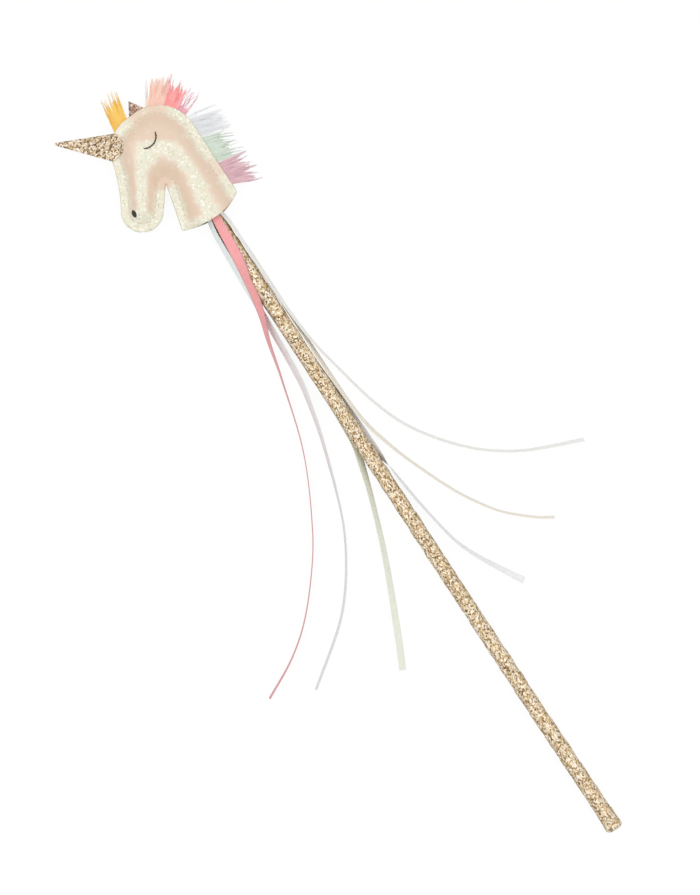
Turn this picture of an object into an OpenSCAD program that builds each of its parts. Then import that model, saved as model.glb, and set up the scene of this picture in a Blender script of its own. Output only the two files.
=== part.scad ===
// Toy wand with a stuffed unicorn head, a gold fabric stick and ribbon streamers.
// It lies on its back: +Y runs up the stick to the head, +X to the nape, +Z out of the face.
// Shapes are drawn with the stick's axis on Y and the middle of the hem at the origin,
// and lie_down() then lays the wand on the floor.

/* [Stick] */
// Diameter of the wooden stick
stick_d = 6; // [4:0.5:8]
// Length of stick that shows below the head
stick_len = 402; // [300:1:500]
// How far the stick reaches up inside the head
stick_depth = 44; // [30:1:52]
// Thickness of the gold fabric at the neck
cover_neck_t = 1; // [0.6:0.1:1.6]
// Thickness of the gold fabric at the butt, where it sits looser
cover_butt_t = 1.45; // [0.6:0.05:2]
// How far the gold fabric reaches up inside the head
cover_depth = 14; // [10:1:24]
// Thickness of the fabric folded over the butt end
wrap_t = 0.6; // [0.3:0.1:1.2]
// Length of the fabric folded over the butt end
wrap_len = 5; // [3:0.5:12]
// Rounding of the butt end
butt_round = 1.1; // [0.4:0.1:1.2]

/* [Head outline] */
// Height from the middle of the hem to the crown
head_h = 72.5; // [68:0.5:80]
// Radius of the crown
crown_r = 22; // [20:0.5:24]
// Distance from the stick's axis back to the nape
neck_back = 17.3; // [15:0.1:20]
// Distance from the stick's axis forward to the neck's front corner
neck_front = 19.5; // [16:0.1:23]
// Height of the hem's front corner above its middle
hem_front_rise = 3.5; // [0:0.1:6]
// Height of the hem's back corner above its middle
hem_back_rise = 5.2; // [0:0.1:8]
// Radius of the brow
brow_r = 20; // [18:0.5:21]
// Distance of the brow's centre ahead of the stick's axis
brow_x = 11.7; // [9:0.1:14]
// Height of the brow's centre above the hem
brow_y = 52; // [50:0.5:53]
// Radius of the muzzle
muzzle_r = 11.5; // [10:0.1:13]
// Distance of the muzzle's centre ahead of the stick's axis
muzzle_x = 32.2; // [29:0.1:36]
// Height of the muzzle's centre above the hem
muzzle_y = 25; // [22:0.5:27]
// How far the face line is dished in
face_dish = 1.4; // [0:0.1:2.5]
// Distance of the notch under the jaw ahead of the stick's axis
notch_x = 13.2; // [12:0.1:15]
// Height of the notch under the jaw above the hem
notch_y = 29.2; // [26:0.1:31]
// Radius at the top of the notch
notch_r = 0.4; // [0.3:0.1:1.5]

/* [Head padding] */
// Thickness of the head's glitter leatherette
panel_t = 0.8; // [0.5:0.1:1.2]
// Width of the flat seam border
seam_w = 4; // [2.5:0.1:5]
// Thickness of stuffing between the gold fabric and the panels
wadding_t = 2.5; // [2:0.1:5]
// Distance from the seam over which the head swells to its full thickness
puff_w = 10; // [8:0.5:12]
// How far the back of the head is pressed flat where it lies on the floor
back_flat = 1; // [0.4:0.1:1.4]
// Clearance between the stuffing and the panels round it
stuffing_gap = 0.3; // [0.2:0.05:0.5]
// Clearance between pieces that lie on each other
fit_gap = 0.1; // [0.05:0.05:0.2]
// Clearance of the binding on the gold fabric
seat_gap = 0.02; // [0.01:0.01:0.05]

/* [Horn] */
// Length of the horn beyond the brow
horn_len = 30.8; // [20:0.1:45]
// Width of the horn at its base
horn_w = 15.5; // [12:0.1:18]
// Half width of the horn's tip
horn_tip = 0.6; // [0.4:0.1:1.5]
// How far the horn's base laps onto the head
horn_lap = 7.2; // [5:0.1:9]
// Depth of the round of the horn's base
horn_base_bow = 5.2; // [3:0.1:6]
// Direction of the horn from the brow's centre
horn_angle = 143.5; // [138:0.5:148]
// Thickness of the horn's glitter fabric
horn_t = 0.7; // [0.4:0.1:1.2]
// Swell of each side of the horn
horn_puff = 1.8; // [1:0.1:3]

/* [Ear and mane] */
// Width of the ear at the seam
ear_w = 8; // [5:0.1:8.5]
// Height of the ear above the seam
ear_h = 7.2; // [4:0.1:12]
// Thickness of the ear and of the ribbon ends that are sewn into the seam
insert_t = 0.6; // [0.4:0.1:1]
// How deep they reach into the seam
insert_depth = 3.2; // [1.5:0.1:3.4]
// Width of one frayed strand
strand_w = 0.5; // [0.4:0.1:1]

/* [Face] */
// Radius of the closed eye's curve
eye_r = 6.6; // [4:0.1:8]
// Distance of the eye's centre ahead of the stick's axis
eye_x = 9; // [7:0.1:11]
// Height of the eye's centre above the hem
eye_y = 58.2; // [55:0.1:59]
// Width of the eye's line of thread
eye_line = 0.8; // [0.4:0.1:1.2]
// Width of the nostril
nostril_w = 2.2; // [1:0.1:3]
// Length of the nostril
nostril_len = 4.4; // [2:0.1:6]
// Distance of the nostril ahead of the muzzle's centre
nostril_x = 4.4; // [2:0.1:6]
// Height of the nostril above the muzzle's centre
nostril_y = 0.9; // [-1:0.1:3]
// Height of the stitching above the face
stitch_h = 0.4; // [0.2:0.1:0.8]

/* [Ribbons] */
// Width of the ribbons
ribbon_w = 6; // [4:0.5:7]
// Thickness of the ribbons
ribbon_t = 0.25; // [0.15:0.05:0.3]
// Width of the ribbons where the binding gathers them
ribbon_neck_w = 4.2; // [3:0.1:4.4]
// Length of the thread binding that holds the ribbons
binding_len = 6; // [3:0.5:10]
// Thickness of the binding over the ribbons
binding_t = 1; // [0.8:0.1:1.5]
// Height of the binding's lower end above the hem
binding_y = 2.5; // [1.5:0.5:4]

/* [Hidden] */
$fn = 64;

function mix(a, b, t) = a + (b - a) * t;
function polar(c, r, a) = c + r * [cos(a), sin(a)];
function flat(lists) = [for (l = lists) each l];
function unit(v) = v / norm(v);

// Stick sizes, all round
stick_r = stick_d / 2;
cover_neck_r = stick_r + cover_neck_t;
cover_butt_r = stick_r + cover_butt_t;
wrap_r = cover_butt_r + wrap_t;
cover_len = stick_len - wrap_t + cover_depth;
function cover_r(y) = mix(cover_neck_r, cover_butt_r, (cover_depth - y) / cover_len);
binding_bore_r = cover_r(binding_y) + seat_gap;
binding_r = binding_bore_r + ribbon_t + binding_t;

// The head's outline is four circles and the straight lines that touch two of them.
crown_c = [neck_back - crown_r, head_h - crown_r];
brow_c = [-brow_x, brow_y];
muzzle_c = [-muzzle_x, muzzle_y];
notch_c = [-notch_x, notch_y];
hem_front = [-neck_front, hem_front_rise];

// Outward direction of the line that touches two circles; a hollow round has a negative radius
function touch_dir(c1, r1, c2, r2, side) =
    let (d = c2 - c1) atan2(d.y, d.x) + side * acos((r1 - r2) / norm(d));
face_dir = touch_dir(muzzle_c, muzzle_r, brow_c, brow_r, 1);
top_dir = touch_dir(brow_c, brow_r, crown_c, crown_r, 1);
jaw_dir = touch_dir(muzzle_c, muzzle_r, notch_c, -notch_r, -1) + 360;
throat_dir = touch_dir(notch_c, -notch_r, hem_front, 0, -1) + 360;
tip_dir = (face_dir + jaw_dir) / 2;

// Steps of the head's mesh along the muzzle, face, brow, crown and neck, and across it
muzzle_steps = 5;
face_steps = 5;
brow_steps = 4;
crown_steps = 7;
neck_steps = 6;
dome_steps = 10;
tip_gap = 8;
tip_share = 0.6;

function hem_y(x) = x < 0 ? hem_front_rise * pow(x / neck_front, 2) : hem_back_rise * pow(x / neck_back, 2);

// The edge from the muzzle's tip over the brow and crown to the top of the nape
function upper_edge(inset) = concat(
    [for (k = [0:muzzle_steps])
        polar(muzzle_c, muzzle_r - inset, mix(tip_dir - tip_gap, face_dir, k / muzzle_steps))],
    [for (k = [1:face_steps - 1])
        let (t = k / face_steps, dish = face_dish * 4 * t * (1 - t))
        mix(polar(muzzle_c, muzzle_r - inset - dish, face_dir),
            polar(brow_c, brow_r - inset - dish, face_dir), t)],
    [for (k = [0:brow_steps]) polar(brow_c, brow_r - inset, mix(face_dir, top_dir, k / brow_steps))],
    [for (k = [0:crown_steps]) polar(crown_c, crown_r - inset, mix(top_dir, 0, k / crown_steps))]
);

// The edge from the muzzle's tip along the jaw and round the notch, with as many points
notch_steps = brow_steps + crown_steps + 1;
function lower_edge(inset) = concat(
    [for (k = [0:muzzle_steps])
        polar(muzzle_c, muzzle_r - inset, mix(tip_dir + tip_gap, jaw_dir, k / muzzle_steps))],
    [for (k = [1:face_steps - 1])
        mix(polar(muzzle_c, muzzle_r - inset, jaw_dir),
            polar(notch_c, -notch_r - inset, jaw_dir), k / face_steps)],
    [for (k = [0:notch_steps])
        polar(notch_c, -notch_r - inset, mix(jaw_dir, throat_dir, k / notch_steps))]
);

function hem_point(x) = [x, hem_y(x)];
function hem_at(inset) = [hem_point(neck_back - inset), hem_point(inset - neck_front)];

// One row of points across the head: edge, seam, the swell, seam, edge
function row(a, seam_a, seam_b, b) =
    concat([a], [for (k = [0:dome_steps]) mix(seam_a, seam_b, k / dome_steps)], [b]);
function neck_rows(top, hem, last) =
    [for (k = [1:last]) [for (c = [0:len(top) - 1]) mix(top[c], hem_point(hem[c].x), k / neck_steps)]];

edge_up = upper_edge(0);
edge_low = lower_edge(0);
seam_up = upper_edge(seam_w);
seam_low = lower_edge(seam_w);
hem_edge = hem_at(0);
hem_seam = hem_at(seam_w);
columns = dome_steps + 3;
tip_row = [for (c = [0:columns - 1])
    polar(muzzle_c, muzzle_r, tip_dir + tip_share * tip_gap * (2 * c / (columns - 1) - 1))];
upper_rows = [for (j = [0:len(edge_up) - 1]) row(edge_up[j], seam_up[j], seam_low[j], edge_low[j])];
hem_row = row(hem_edge[0], hem_seam[0], hem_seam[1], hem_edge[1]);
head_rows = concat([tip_row], upper_rows, neck_rows(upper_rows[len(upper_rows) - 1], hem_row, neck_steps));
neck_start = len(upper_rows);
brow_start = muzzle_steps + face_steps + 1;

// The swell rises from the seam on both sides and joins smoothly along the middle
seam_tip = polar(muzzle_c, muzzle_r - seam_w, tip_dir);
seam_chain_up = concat([seam_tip], seam_up, [hem_seam[0]]);
seam_chain_low = concat([seam_tip], seam_low, [hem_seam[1]]);
function to_segment(p, a, b) =
    let (d = b - a, t = max(0, min(1, (p - a) * d / (d * d)))) norm(p - a - t * d);
function to_chain(p, chain) = min([for (i = [0:len(chain) - 2]) to_segment(p, chain[i], chain[i + 1])]);
least_run = 0.001;
head_puff = cover_neck_r + wadding_t;
back_puff = max(head_puff - back_flat, binding_r + fit_gap);
function swell(p) =
    let (up = max(least_run, to_chain(p, seam_chain_up)), low = max(least_run, to_chain(p, seam_chain_low)),
        run = min(1, 1 / sqrt(1 / (up * up) + 1 / (low * low)) / puff_w))
    head_puff * (1 - pow(1 - run, 2));

// Along the brow, crown and nape the two panels part to take the sewn-in pieces
seam_open = insert_t / 2 + fit_gap;
function opening(j, c) = j >= brow_start && c < 2 ? seam_open : 0;
function is_border(j, c) = j < 2 || c < 2 || c > columns - 3;
front_lift = [for (j = [0:len(head_rows) - 1]) [for (c = [0:columns - 1])
    is_border(j, c) ? opening(j, c) : swell(head_rows[j][c])]];
back_lift = [for (r = front_lift) [for (z = r) min(z, back_puff)]];
function raised(grid, by) = [for (r = grid) [for (z = r) z + by]];
back_top = raised(back_lift, panel_t);

// Closed mesh between two surfaces over one grid of points
module sheet(rows, high, low) {
    n = len(rows);
    m = len(rows[0]);
    points = concat(
        [for (j = [0:n - 1]) for (c = [0:m - 1]) [rows[j][c].x, rows[j][c].y, high[j][c]]],
        [for (j = [0:n - 1]) for (c = [0:m - 1]) [rows[j][c].x, rows[j][c].y, low[j][c]]]);
    cells = flat([for (j = [0:n - 2]) for (c = [0:m - 2])
        let (a = j * m + c, b = a + 1, d = a + m, e = d + 1)
        [[a, e, b], [a, d, e], [a + n * m, b + n * m, e + n * m], [a + n * m, e + n * m, d + n * m]]]);
    rim = concat([for (c = [0:m - 1]) c], [for (j = [1:n - 1]) j * m + m - 1],
        [for (c = [m - 2:-1:0]) (n - 1) * m + c], [for (j = [n - 2:-1:1]) j * m]);
    walls = flat([for (i = [0:len(rim) - 1])
        let (a = rim[i], b = rim[(i + 1) % len(rim)])
        [[a, b, b + n * m], [a, b + n * m, a + n * m]]]);
    polyhedron(points, concat(cells, walls), convexity = 10);
}

// The wand rests on the back of its head and on its butt end
butt_contact_y = butt_round - stick_len;
tilt = max(flat([for (j = [0:len(head_rows) - 1])
    [for (c = [0:columns - 1]) atan2(back_top[j][c] - wrap_r, head_rows[j][c].y - butt_contact_y)]]));
rest_z = wrap_r * cos(tilt) - butt_contact_y * sin(tilt);

// Mane pieces: place along the edge above the top of the nape, width, length, lean, spread, unfrayed share
forelock_place = [45.4, 10.8, 17.6, -24, -24, 0.75];
blush_place = [24.2, 10, 15.2, -2, 2, 0.6];
coral_place = [15, 7.4, 16.8, -6, 4, 0.5];
rose_place = [8.8, 4, 14, -11, 2, 0.25];
lilac_place = [-2.1, 12.8, 17, -5, 6, 0.8];
mint_place = [-17.2, 16.4, 17.4, -7, 2, 0.45];
mauve_place = [-33, 14, 18, -10, 10, 0.55];
ear_at = 34.6;
strand_seed = 7;
strand_vary = 0.16;
strand_wave = 1.2;

// A point on the head's edge and its outward direction, measured up from the top of the nape
crown_run = crown_r * top_dir * PI / 180;
top_run = norm(polar(brow_c, brow_r, top_dir) - polar(crown_c, crown_r, top_dir));
function edge_dir(d) =
    d < 0 ? 0 :
    d < crown_run ? d / crown_r * 180 / PI :
    d < crown_run + top_run ? top_dir :
    top_dir + (d - crown_run - top_run) / brow_r * 180 / PI;
function edge_point(d) =
    d < 0 ? [neck_back, crown_c.y + d] :
    d < crown_run ? polar(crown_c, crown_r, edge_dir(d)) :
    d < crown_run + top_run ?
        polar(crown_c, crown_r, top_dir) + (d - crown_run) * [-sin(top_dir), cos(top_dir)] :
    polar(brow_c, brow_r, edge_dir(d));

// Extreme points, which set the origin under the middle of the wand
function tuft_dir(place, t) = edge_dir(place[0] + place[1] * (t - 0.5)) + place[3] + place[4] * (t - 0.5);
function tuft_point(place, t, reach) =
    polar(edge_point(place[0] + place[1] * (t - 0.5)), reach, tuft_dir(place, t));
function strands(place) = max(4, round(place[1] / strand_w));
function strand_len(place, i) =
    place[2] * (1 - strand_vary * rands(0, 1, strands(place), strand_seed + place[0])[i]);
function strand_tip(place, i) = tuft_point(place, (i + 0.5) / strands(place), strand_len(place, i));
function tuft_tips(place) = [for (i = [0:strands(place) - 1]) strand_tip(place, i)];
horn_axis = [cos(horn_angle), sin(horn_angle)];
horn_side = [-horn_axis.y, horn_axis.x];
horn_end = brow_c + (brow_r + horn_len) * horn_axis;
far_left = min(horn_end.x - horn_tip * abs(horn_side.x), horn_end.x + horn_tip * abs(horn_side.x));
mane_tips = flat([for (p = [lilac_place, mint_place, mauve_place]) tuft_tips(p)]);
far_right = max([for (p = mane_tips) p.x]);
far_up = max([for (p = tuft_tips(forelock_place)) p.y]);
centre = [(far_left + far_right) / 2, (far_up - stick_len) / 2];

module lie_down() {
    translate([-centre.x, -centre.y, rest_z]) rotate([tilt, 0, 0]) children();
}

module stick_core() {
    color("burlywood") lie_down()
        translate([0, wrap_t - stick_len, 0]) rotate([-90, 0, 0])
        cylinder(r = stick_r, h = stick_len - wrap_t + stick_depth);
}

// The fabric tube narrows a little towards the neck
module stick_cover() {
    color("goldenrod") lie_down()
        translate([0, wrap_t - stick_len, 0]) rotate([-90, 0, 0])
        difference() {
            cylinder(r1 = cover_butt_r, r2 = cover_neck_r, h = cover_len);
            translate([0, 0, -1]) cylinder(r = stick_r, h = cover_len + 2);
        }
}

// The fabric folded over the end of the stick, with rounded rims
module stick_end_wrap() {
    rim_round = wrap_t / 2;
    color("darkgoldenrod") lie_down()
        translate([0, -stick_len, 0]) rotate([-90, 0, 0])
        rotate_extrude() difference() {
            union() {
                square([wrap_r - butt_round, wrap_len]);
                translate([0, butt_round]) square([wrap_r, wrap_len - butt_round - rim_round]);
                translate([0, butt_round]) square([wrap_r - rim_round, wrap_len - butt_round]);
                translate([wrap_r - butt_round, butt_round]) circle(r = butt_round);
                translate([wrap_r - rim_round, wrap_len - rim_round]) circle(r = rim_round);
            }
            translate([-1, wrap_t]) square([cover_butt_r + 1, wrap_len]);
        }
}

module ribbon_binding() {
    color("ivory") lie_down()
        translate([0, binding_y, 0]) rotate([-90, 0, 0])
        difference() {
            cylinder(r = binding_r, h = binding_len);
            translate([0, 0, -1]) cylinder(r = binding_bore_r, h = binding_len + 2);
        }
}

// Ribbon routes on the floor: x, y, roll from flat, height of the lower edge
coral_route = [
    [0, -8, 0, 10.5], [-1.5, -24, -8, 9.9], [-2.8, -31, -25, 8.4], [-4.4, -38, -43, 6],
    [-6.1, -50, -43, 4.3], [-9, -61, -57, 2.8], [-12.8, -72, -68, 1.2], [-18, -93, -77, 0.1],
    [-30.5, -135, -83, 0], [-50, -174, -83, 0], [-64, -194, -83, 0], [-82, -214, -82, 0],
    [-99, -227, -81, 0], [-120, -238, -79, 0]
];
lilac_grey_route = [
    [-5.4, -7, -61, 5], [-6.3, -24, -62, 2.4], [-7.2, -44, -60, 0.6], [-7.8, -64, -58, 0],
    [-10.2, -100, -60, 0], [-13, -115, -66, 0], [-18, -135, -72, 0], [-31, -174, -79, 0],
    [-41, -194, -78, 0], [-55, -214, -77, 0], [-68, -227, -77, 0], [-96, -248, -78, 0]
];
mint_route = [
    [-4.4, -7, 48, 1.2], [-4.2, -14, 30, 0.4], [-3.6, -24, 14, 0], [-2, -45, 4, 0],
    [-1.6, -90, 0, 0], [-1.8, -126, 2, 0], [-2.4, -137, 18, 0], [-3.9, -147, 42, 0], [-6.6, -156, 52, 0],
    [-12, -174, 62, 0], [-24, -207, 59, 0], [-41, -246, 52, 0], [-50, -265, 53, 0]
];
lilac_route = [
    [0.6, -7, -4, 1.5], [0.5, -20, -2, 1.4], [0.3, -45, 0, 0.9], [0.5, -90, 0, 0.6],
    [1.8, -124, -4, 0.8], [2.4, -137, -16, 0.6], [3.1, -150, -32, 0.4], [4.2, -162, -50, 0.2],
    [5.6, -174, -68, 0], [8.4, -195, -76, 0], [13, -220, -76, 0], [18.5, -234, -68, 0],
    [25.5, -247, -62, 0], [33, -260, -52, 0]
];
cream_route = [
    [4.9, -7, -62, 1.6], [4.6, -24, -66, 0.6], [4.3, -48, -70, 0.1], [4.5, -80, -72, 0],
    [7.4, -130, -68, 0], [10.2, -148, -66, 0], [15.4, -168, -69, 0], [26.2, -194, -75, 0],
    [33.2, -207, -74, 0], [43, -221, -77, 0], [57, -234, -73, 0], [66, -240, -74, 0]
];
white_route = [
    [5.3, -7, 62, 6.2], [6.2, -24, 64, 5.2], [6.6, -44, 66, 4.1], [6.9, -66, 68, 2.4],
    [8.7, -88, 68, 0.8], [11.5, -108, 67, 0], [16.6, -130, 67, 0], [23, -148, 66, 0],
    [30.4, -161, 70, 0], [40.2, -174, 64, 0], [53, -187, 67, 0], [72, -200, 69, 0],
    [103, -213, 66, 0]
];

// Angles round the stick where the binding holds each ribbon
coral_angle = 90;
lilac_grey_angle = 150;
mint_angle = 214;
lilac_angle = 272;
cream_angle = 330;
white_angle = 28;

// A point of the wand where it lies, with the stick's axis still over x = 0
function laid(p) = [p.x, p.y * cos(tilt) - p.z * sin(tilt), rest_z + p.y * sin(tilt) + p.z * cos(tilt)];

// A flat band swept along a route that starts under the binding; both faces fold along the same diagonals
module ribbon(route, angle, turns) {
    hold_r = cover_neck_r + fit_gap + ribbon_t / 2;
    start = laid([hold_r * cos(angle), binding_y, hold_r * sin(angle)]);
    rolls = concat([90 - angle + turns * 180], [for (p = route) p[2]]);
    widths = concat([ribbon_neck_w, (ribbon_neck_w + ribbon_w) / 2],
        [for (k = [1:len(route) - 1]) ribbon_w]);
    spine = concat([start], [for (k = [0:len(route) - 1])
        let (p = route[k], w = widths[k + 1])
        [p[0], p[1], p[3] + w / 2 * abs(sin(p[2])) + ribbon_t / 2 * abs(cos(p[2]))]]);
    last = len(spine) - 1;
    points = flat([for (k = [0:last])
        let (ahead = k == 0 ? [0, -cos(tilt), -sin(tilt)] : unit(spine[min(last, k + 1)] - spine[k - 1]),
            level = unit(cross(ahead, [0, 0, 1])), up = cross(level, ahead),
            side = level * cos(rolls[k]) + up * sin(rolls[k]), face = cross(ahead, side),
            w = side * widths[k] / 2, t = face * ribbon_t / 2)
        [spine[k] - w - t, spine[k] + w - t, spine[k] + w + t, spine[k] - w + t]]);
    walls = flat([for (k = [0:last - 1]) for (s = [0:3])
        let (a = 4 * k + s, b = 4 * k + (s + 1) % 4)
        s == 0 ? [[a, a + 4, b], [b, a + 4, b + 4]] : [[a, a + 4, b + 4], [a, b + 4, b]]]);
    tail = 4 * last;
    ends = [[0, 1, 2], [0, 2, 3], [tail, tail + 2, tail + 1], [tail, tail + 3, tail + 2]];
    translate([-centre.x, -centre.y, 0]) polyhedron(points, concat(walls, ends), convexity = 10);
}

module ribbon_coral() { color("lightcoral") ribbon(coral_route, coral_angle, 0); }
module ribbon_lilac_grey() { color("gainsboro") ribbon(lilac_grey_route, lilac_grey_angle, 0); }
module ribbon_mint() { color("honeydew") ribbon(mint_route, mint_angle, 1); }
module ribbon_lilac() { color("lavender") ribbon(lilac_route, lilac_angle, 1); }
module ribbon_cream() { color("cornsilk") ribbon(cream_route, cream_angle, 1); }
module ribbon_white() { color("whitesmoke") ribbon(white_route, white_angle, 0); }

// Each side of the head is a flat seam border round a stuffed swell
module head_front_panel() {
    color("antiquewhite") lie_down() sheet(head_rows, raised(front_lift, panel_t), front_lift);
}
module head_back_panel() {
    color("linen") lie_down() mirror([0, 0, 1]) sheet(head_rows, back_top, back_lift);
}

// The stuffing fills the swell down to above the binding, and the stick goes up into it
stuffing_inset = seam_w + 1;
stuffing_neck_rows = 4;
module head_stuffing() {
    up = upper_edge(stuffing_inset);
    low = lower_edge(stuffing_inset);
    hem = hem_at(stuffing_inset);
    upper = [for (j = [1:len(up) - 1]) [for (k = [0:dome_steps]) mix(up[j], low[j], k / dome_steps)]];
    hem_line = [for (k = [0:dome_steps]) mix(hem[0], hem[1], k / dome_steps)];
    rows = concat(upper, neck_rows(upper[len(upper) - 1], hem_line, stuffing_neck_rows));
    high = [for (r = rows) [for (p = r) swell(p) - stuffing_gap]];
    low_side = [for (r = high) [for (z = r) -min(z, back_puff - stuffing_gap)]];
    color("white") lie_down() difference() {
        sheet(rows, high, low_side);
        translate([0, -1, 0]) rotate([-90, 0, 0]) {
            cylinder(r = stick_r + fit_gap, h = stick_depth + 1 + fit_gap);
            cylinder(r = cover_neck_r + fit_gap, h = cover_depth + 1 + fit_gap);
        }
    }
}

// Height of the face's own surface over a point inside the seam
function face_z(p) = swell(p) + panel_t;

// The closed eye is a line of thread laid on the face
eye_from = 235;
eye_to = 352;
eye_steps = 14;
module eye_stitch() {
    inner = eye_r - eye_line / 2;
    rows = [for (k = [0:eye_steps]) [for (s = [0:2])
        polar([-eye_x, eye_y], inner + eye_line * s / 2, mix(eye_from, eye_to, k / eye_steps))]];
    low = [for (r = rows) [for (p = r) face_z(p) + fit_gap]];
    high = [for (r = low) [r[0] + stitch_h / 2, r[1] + stitch_h, r[2] + stitch_h / 2]];
    color("darkslategray") lie_down() sheet(rows, high, low);
}

nostril_lean = 8;
nostril_steps = 8;
module nostril_stitch() {
    middle = muzzle_c + [-nostril_x, nostril_y];
    along = [sin(nostril_lean), cos(nostril_lean)];
    beside = [along.y, -along.x];
    rows = [for (k = [0:nostril_steps])
        let (t = mix(-0.96, 0.96, k / nostril_steps), half = nostril_w / 2 * sqrt(1 - t * t))
        [for (s = [-1:1]) middle + along * nostril_len / 2 * t + beside * half * s]];
    low = [for (r = rows) [for (p = r) face_z(p) + fit_gap]];
    high = [for (r = low) [r[0] + stitch_h / 2, r[1] + stitch_h, r[2] + stitch_h / 2]];
    color("black") lie_down() sheet(rows, high, low);
}

// Height of the head's surface under the horn, taken a little past the head's edge
edge_margin = 3;
function head_under(p) =
    let (out = norm(p - brow_c))
    out > brow_r + edge_margin ? 0 :
    panel_t + fit_gap + max(seam_open, out < brow_r - seam_w ? swell(p) : 0);

// The horn is a stuffed cone pressed flat, whose two sides lap onto the front and back of the head
horn_rows = 12;
horn_columns = 8;
horn_corner = brow_r - horn_lap + horn_base_bow;
function horn_point(s, w) =
    let (out = mix(horn_corner, brow_r + horn_len, s) - horn_base_bow * (1 - w * w) * pow(1 - s, 4))
    brow_c + out * horn_axis + mix(horn_w / 2, horn_tip, s) * w * horn_side;
function horn_swell(s, w) = horn_puff * (1 - w * w) * (1 - s);
function horn_grid(from, to, half, n) =
    [for (j = [0:n]) [for (c = [0:horn_columns]) [mix(from, to, j / n), mix(half, -half, c / horn_columns)]]];
module horn_panel() {
    grid = horn_grid(0, 1, 1, horn_rows);
    rows = [for (r = grid) [for (g = r) horn_point(g[0], g[1])]];
    low = [for (j = [0:horn_rows]) [for (c = [0:horn_columns])
        max(horn_swell(grid[j][c][0], grid[j][c][1]), head_under(rows[j][c]))]];
    high = [for (r = low) [for (z = r) z + horn_t]];
    sheet(rows, high, low);
}
module horn_front_panel() { color("tan") lie_down() horn_panel(); }
module horn_back_panel() { color("tan") lie_down() mirror([0, 0, 1]) horn_panel(); }

horn_fill_half = 0.7;
horn_fill_to = 0.85;
module horn_stuffing() {
    from = (brow_r + edge_margin - horn_corner) / (brow_r + horn_len - horn_corner);
    grid = horn_grid(from, horn_fill_to, horn_fill_half, horn_rows / 2);
    rows = [for (r = grid) [for (g = r) horn_point(g[0], g[1])]];
    high = [for (r = grid) [for (g = r) horn_swell(g[0], g[1]) - fit_gap / 2]];
    low = [for (r = high) [for (z = r) -z]];
    color("white") lie_down() sheet(rows, high, low);
}

// The ear is a triangle of glitter fabric with a tongue in the seam
module ear() {
    color("rosybrown") lie_down() translate([0, 0, -insert_t / 2]) linear_extrude(insert_t)
        translate(edge_point(ear_at)) rotate(edge_dir(ear_at) - 90)
        union() {
            polygon([[-ear_w / 2, 0], [ear_w / 2, 0], [0, ear_h]]);
            translate([-ear_w / 2, -insert_depth]) square([ear_w, insert_depth]);
        }
}

// A ribbon end sewn into the seam and frayed into strands, as one comb-shaped mesh
strand_thin = 0.5;
strand_bend = 0.55;
module tuft(place) {
    n = strands(place);
    half = insert_t / 2;
    band = place[2] * place[5];
    sway = rands(-1, 1, n, strand_seed + place[1]);
    function layer(reach, z) = [for (i = [0:n]) let (p = tuft_point(place, i / n, reach)) [p.x, p.y, z]];
    function finger(i) =
        let (long = strand_len(place, i), reach = mix(band, long, strand_bend),
            tip_z = sway[i] * strand_wave, z = tip_z * strand_bend,
            a = tuft_point(place, (i + 0.5 - strand_thin / 2) / n, reach),
            b = tuft_point(place, (i + 0.5 + strand_thin / 2) / n, reach),
            tip = strand_tip(place, i), t = half * strand_thin)
        [[a.x, a.y, z + t], [b.x, b.y, z + t], [b.x, b.y, z - t], [a.x, a.y, z - t], [tip.x, tip.y, tip_z]];
    m = n + 1;
    points = concat(layer(-insert_depth, half), layer(band, half),
        layer(-insert_depth, -half), layer(band, -half),
        flat([for (i = [0:n - 1]) finger(i)]));
    band_faces = flat([for (i = [0:n - 1]) [
        [i, i + 1, m + i + 1], [i, m + i + 1, m + i],
        [2 * m + i, 3 * m + i + 1, 2 * m + i + 1], [2 * m + i, 3 * m + i, 3 * m + i + 1],
        [i, 2 * m + i + 1, i + 1], [i, 2 * m + i, 2 * m + i + 1]]]);
    side_faces = [[0, m, 3 * m], [0, 3 * m, 2 * m], [n, 3 * m + n, m + n], [n, 2 * m + n, 3 * m + n]];
    finger_faces = flat([for (i = [0:n - 1])
        let (f = 4 * m + 5 * i, base = [m + i, m + i + 1, 3 * m + i + 1, 3 * m + i])
        flat([for (s = [0:3])
            let (u = (s + 1) % 4)
            [[base[s], base[u], f + u], [base[s], f + u, f + s], [f + s, f + u, f + 4]]])]);
    polyhedron(points, concat(band_faces, side_faces, finger_faces), convexity = 10);
}

module forelock_yellow() { color("goldenrod") lie_down() tuft(forelock_place); }
module mane_blush() { color("peachpuff") lie_down() tuft(blush_place); }
module mane_coral() { color("salmon") lie_down() tuft(coral_place); }
module mane_rose() { color("pink") lie_down() tuft(rose_place); }
module mane_lilac() { color("lightgray") lie_down() tuft(lilac_place); }
module mane_mint() { color("lightcyan") lie_down() tuft(mint_place); }
module mane_mauve() { color("thistle") lie_down() tuft(mauve_place); }

stick_core();
stick_cover();
stick_end_wrap();
ribbon_binding();
ribbon_coral();
ribbon_lilac_grey();
ribbon_mint();
ribbon_lilac();
ribbon_cream();
ribbon_white();
head_front_panel();
head_back_panel();
head_stuffing();
eye_stitch();
nostril_stitch();
horn_front_panel();
horn_back_panel();
horn_stuffing();
ear();
forelock_yellow();
mane_blush();
mane_coral();
mane_rose();
mane_lilac();
mane_mint();
mane_mauve();
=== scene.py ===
import math
import random

import bpy
from mathutils import Matrix, Vector, noise
from mathutils.bvhtree import BVHTree


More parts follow.
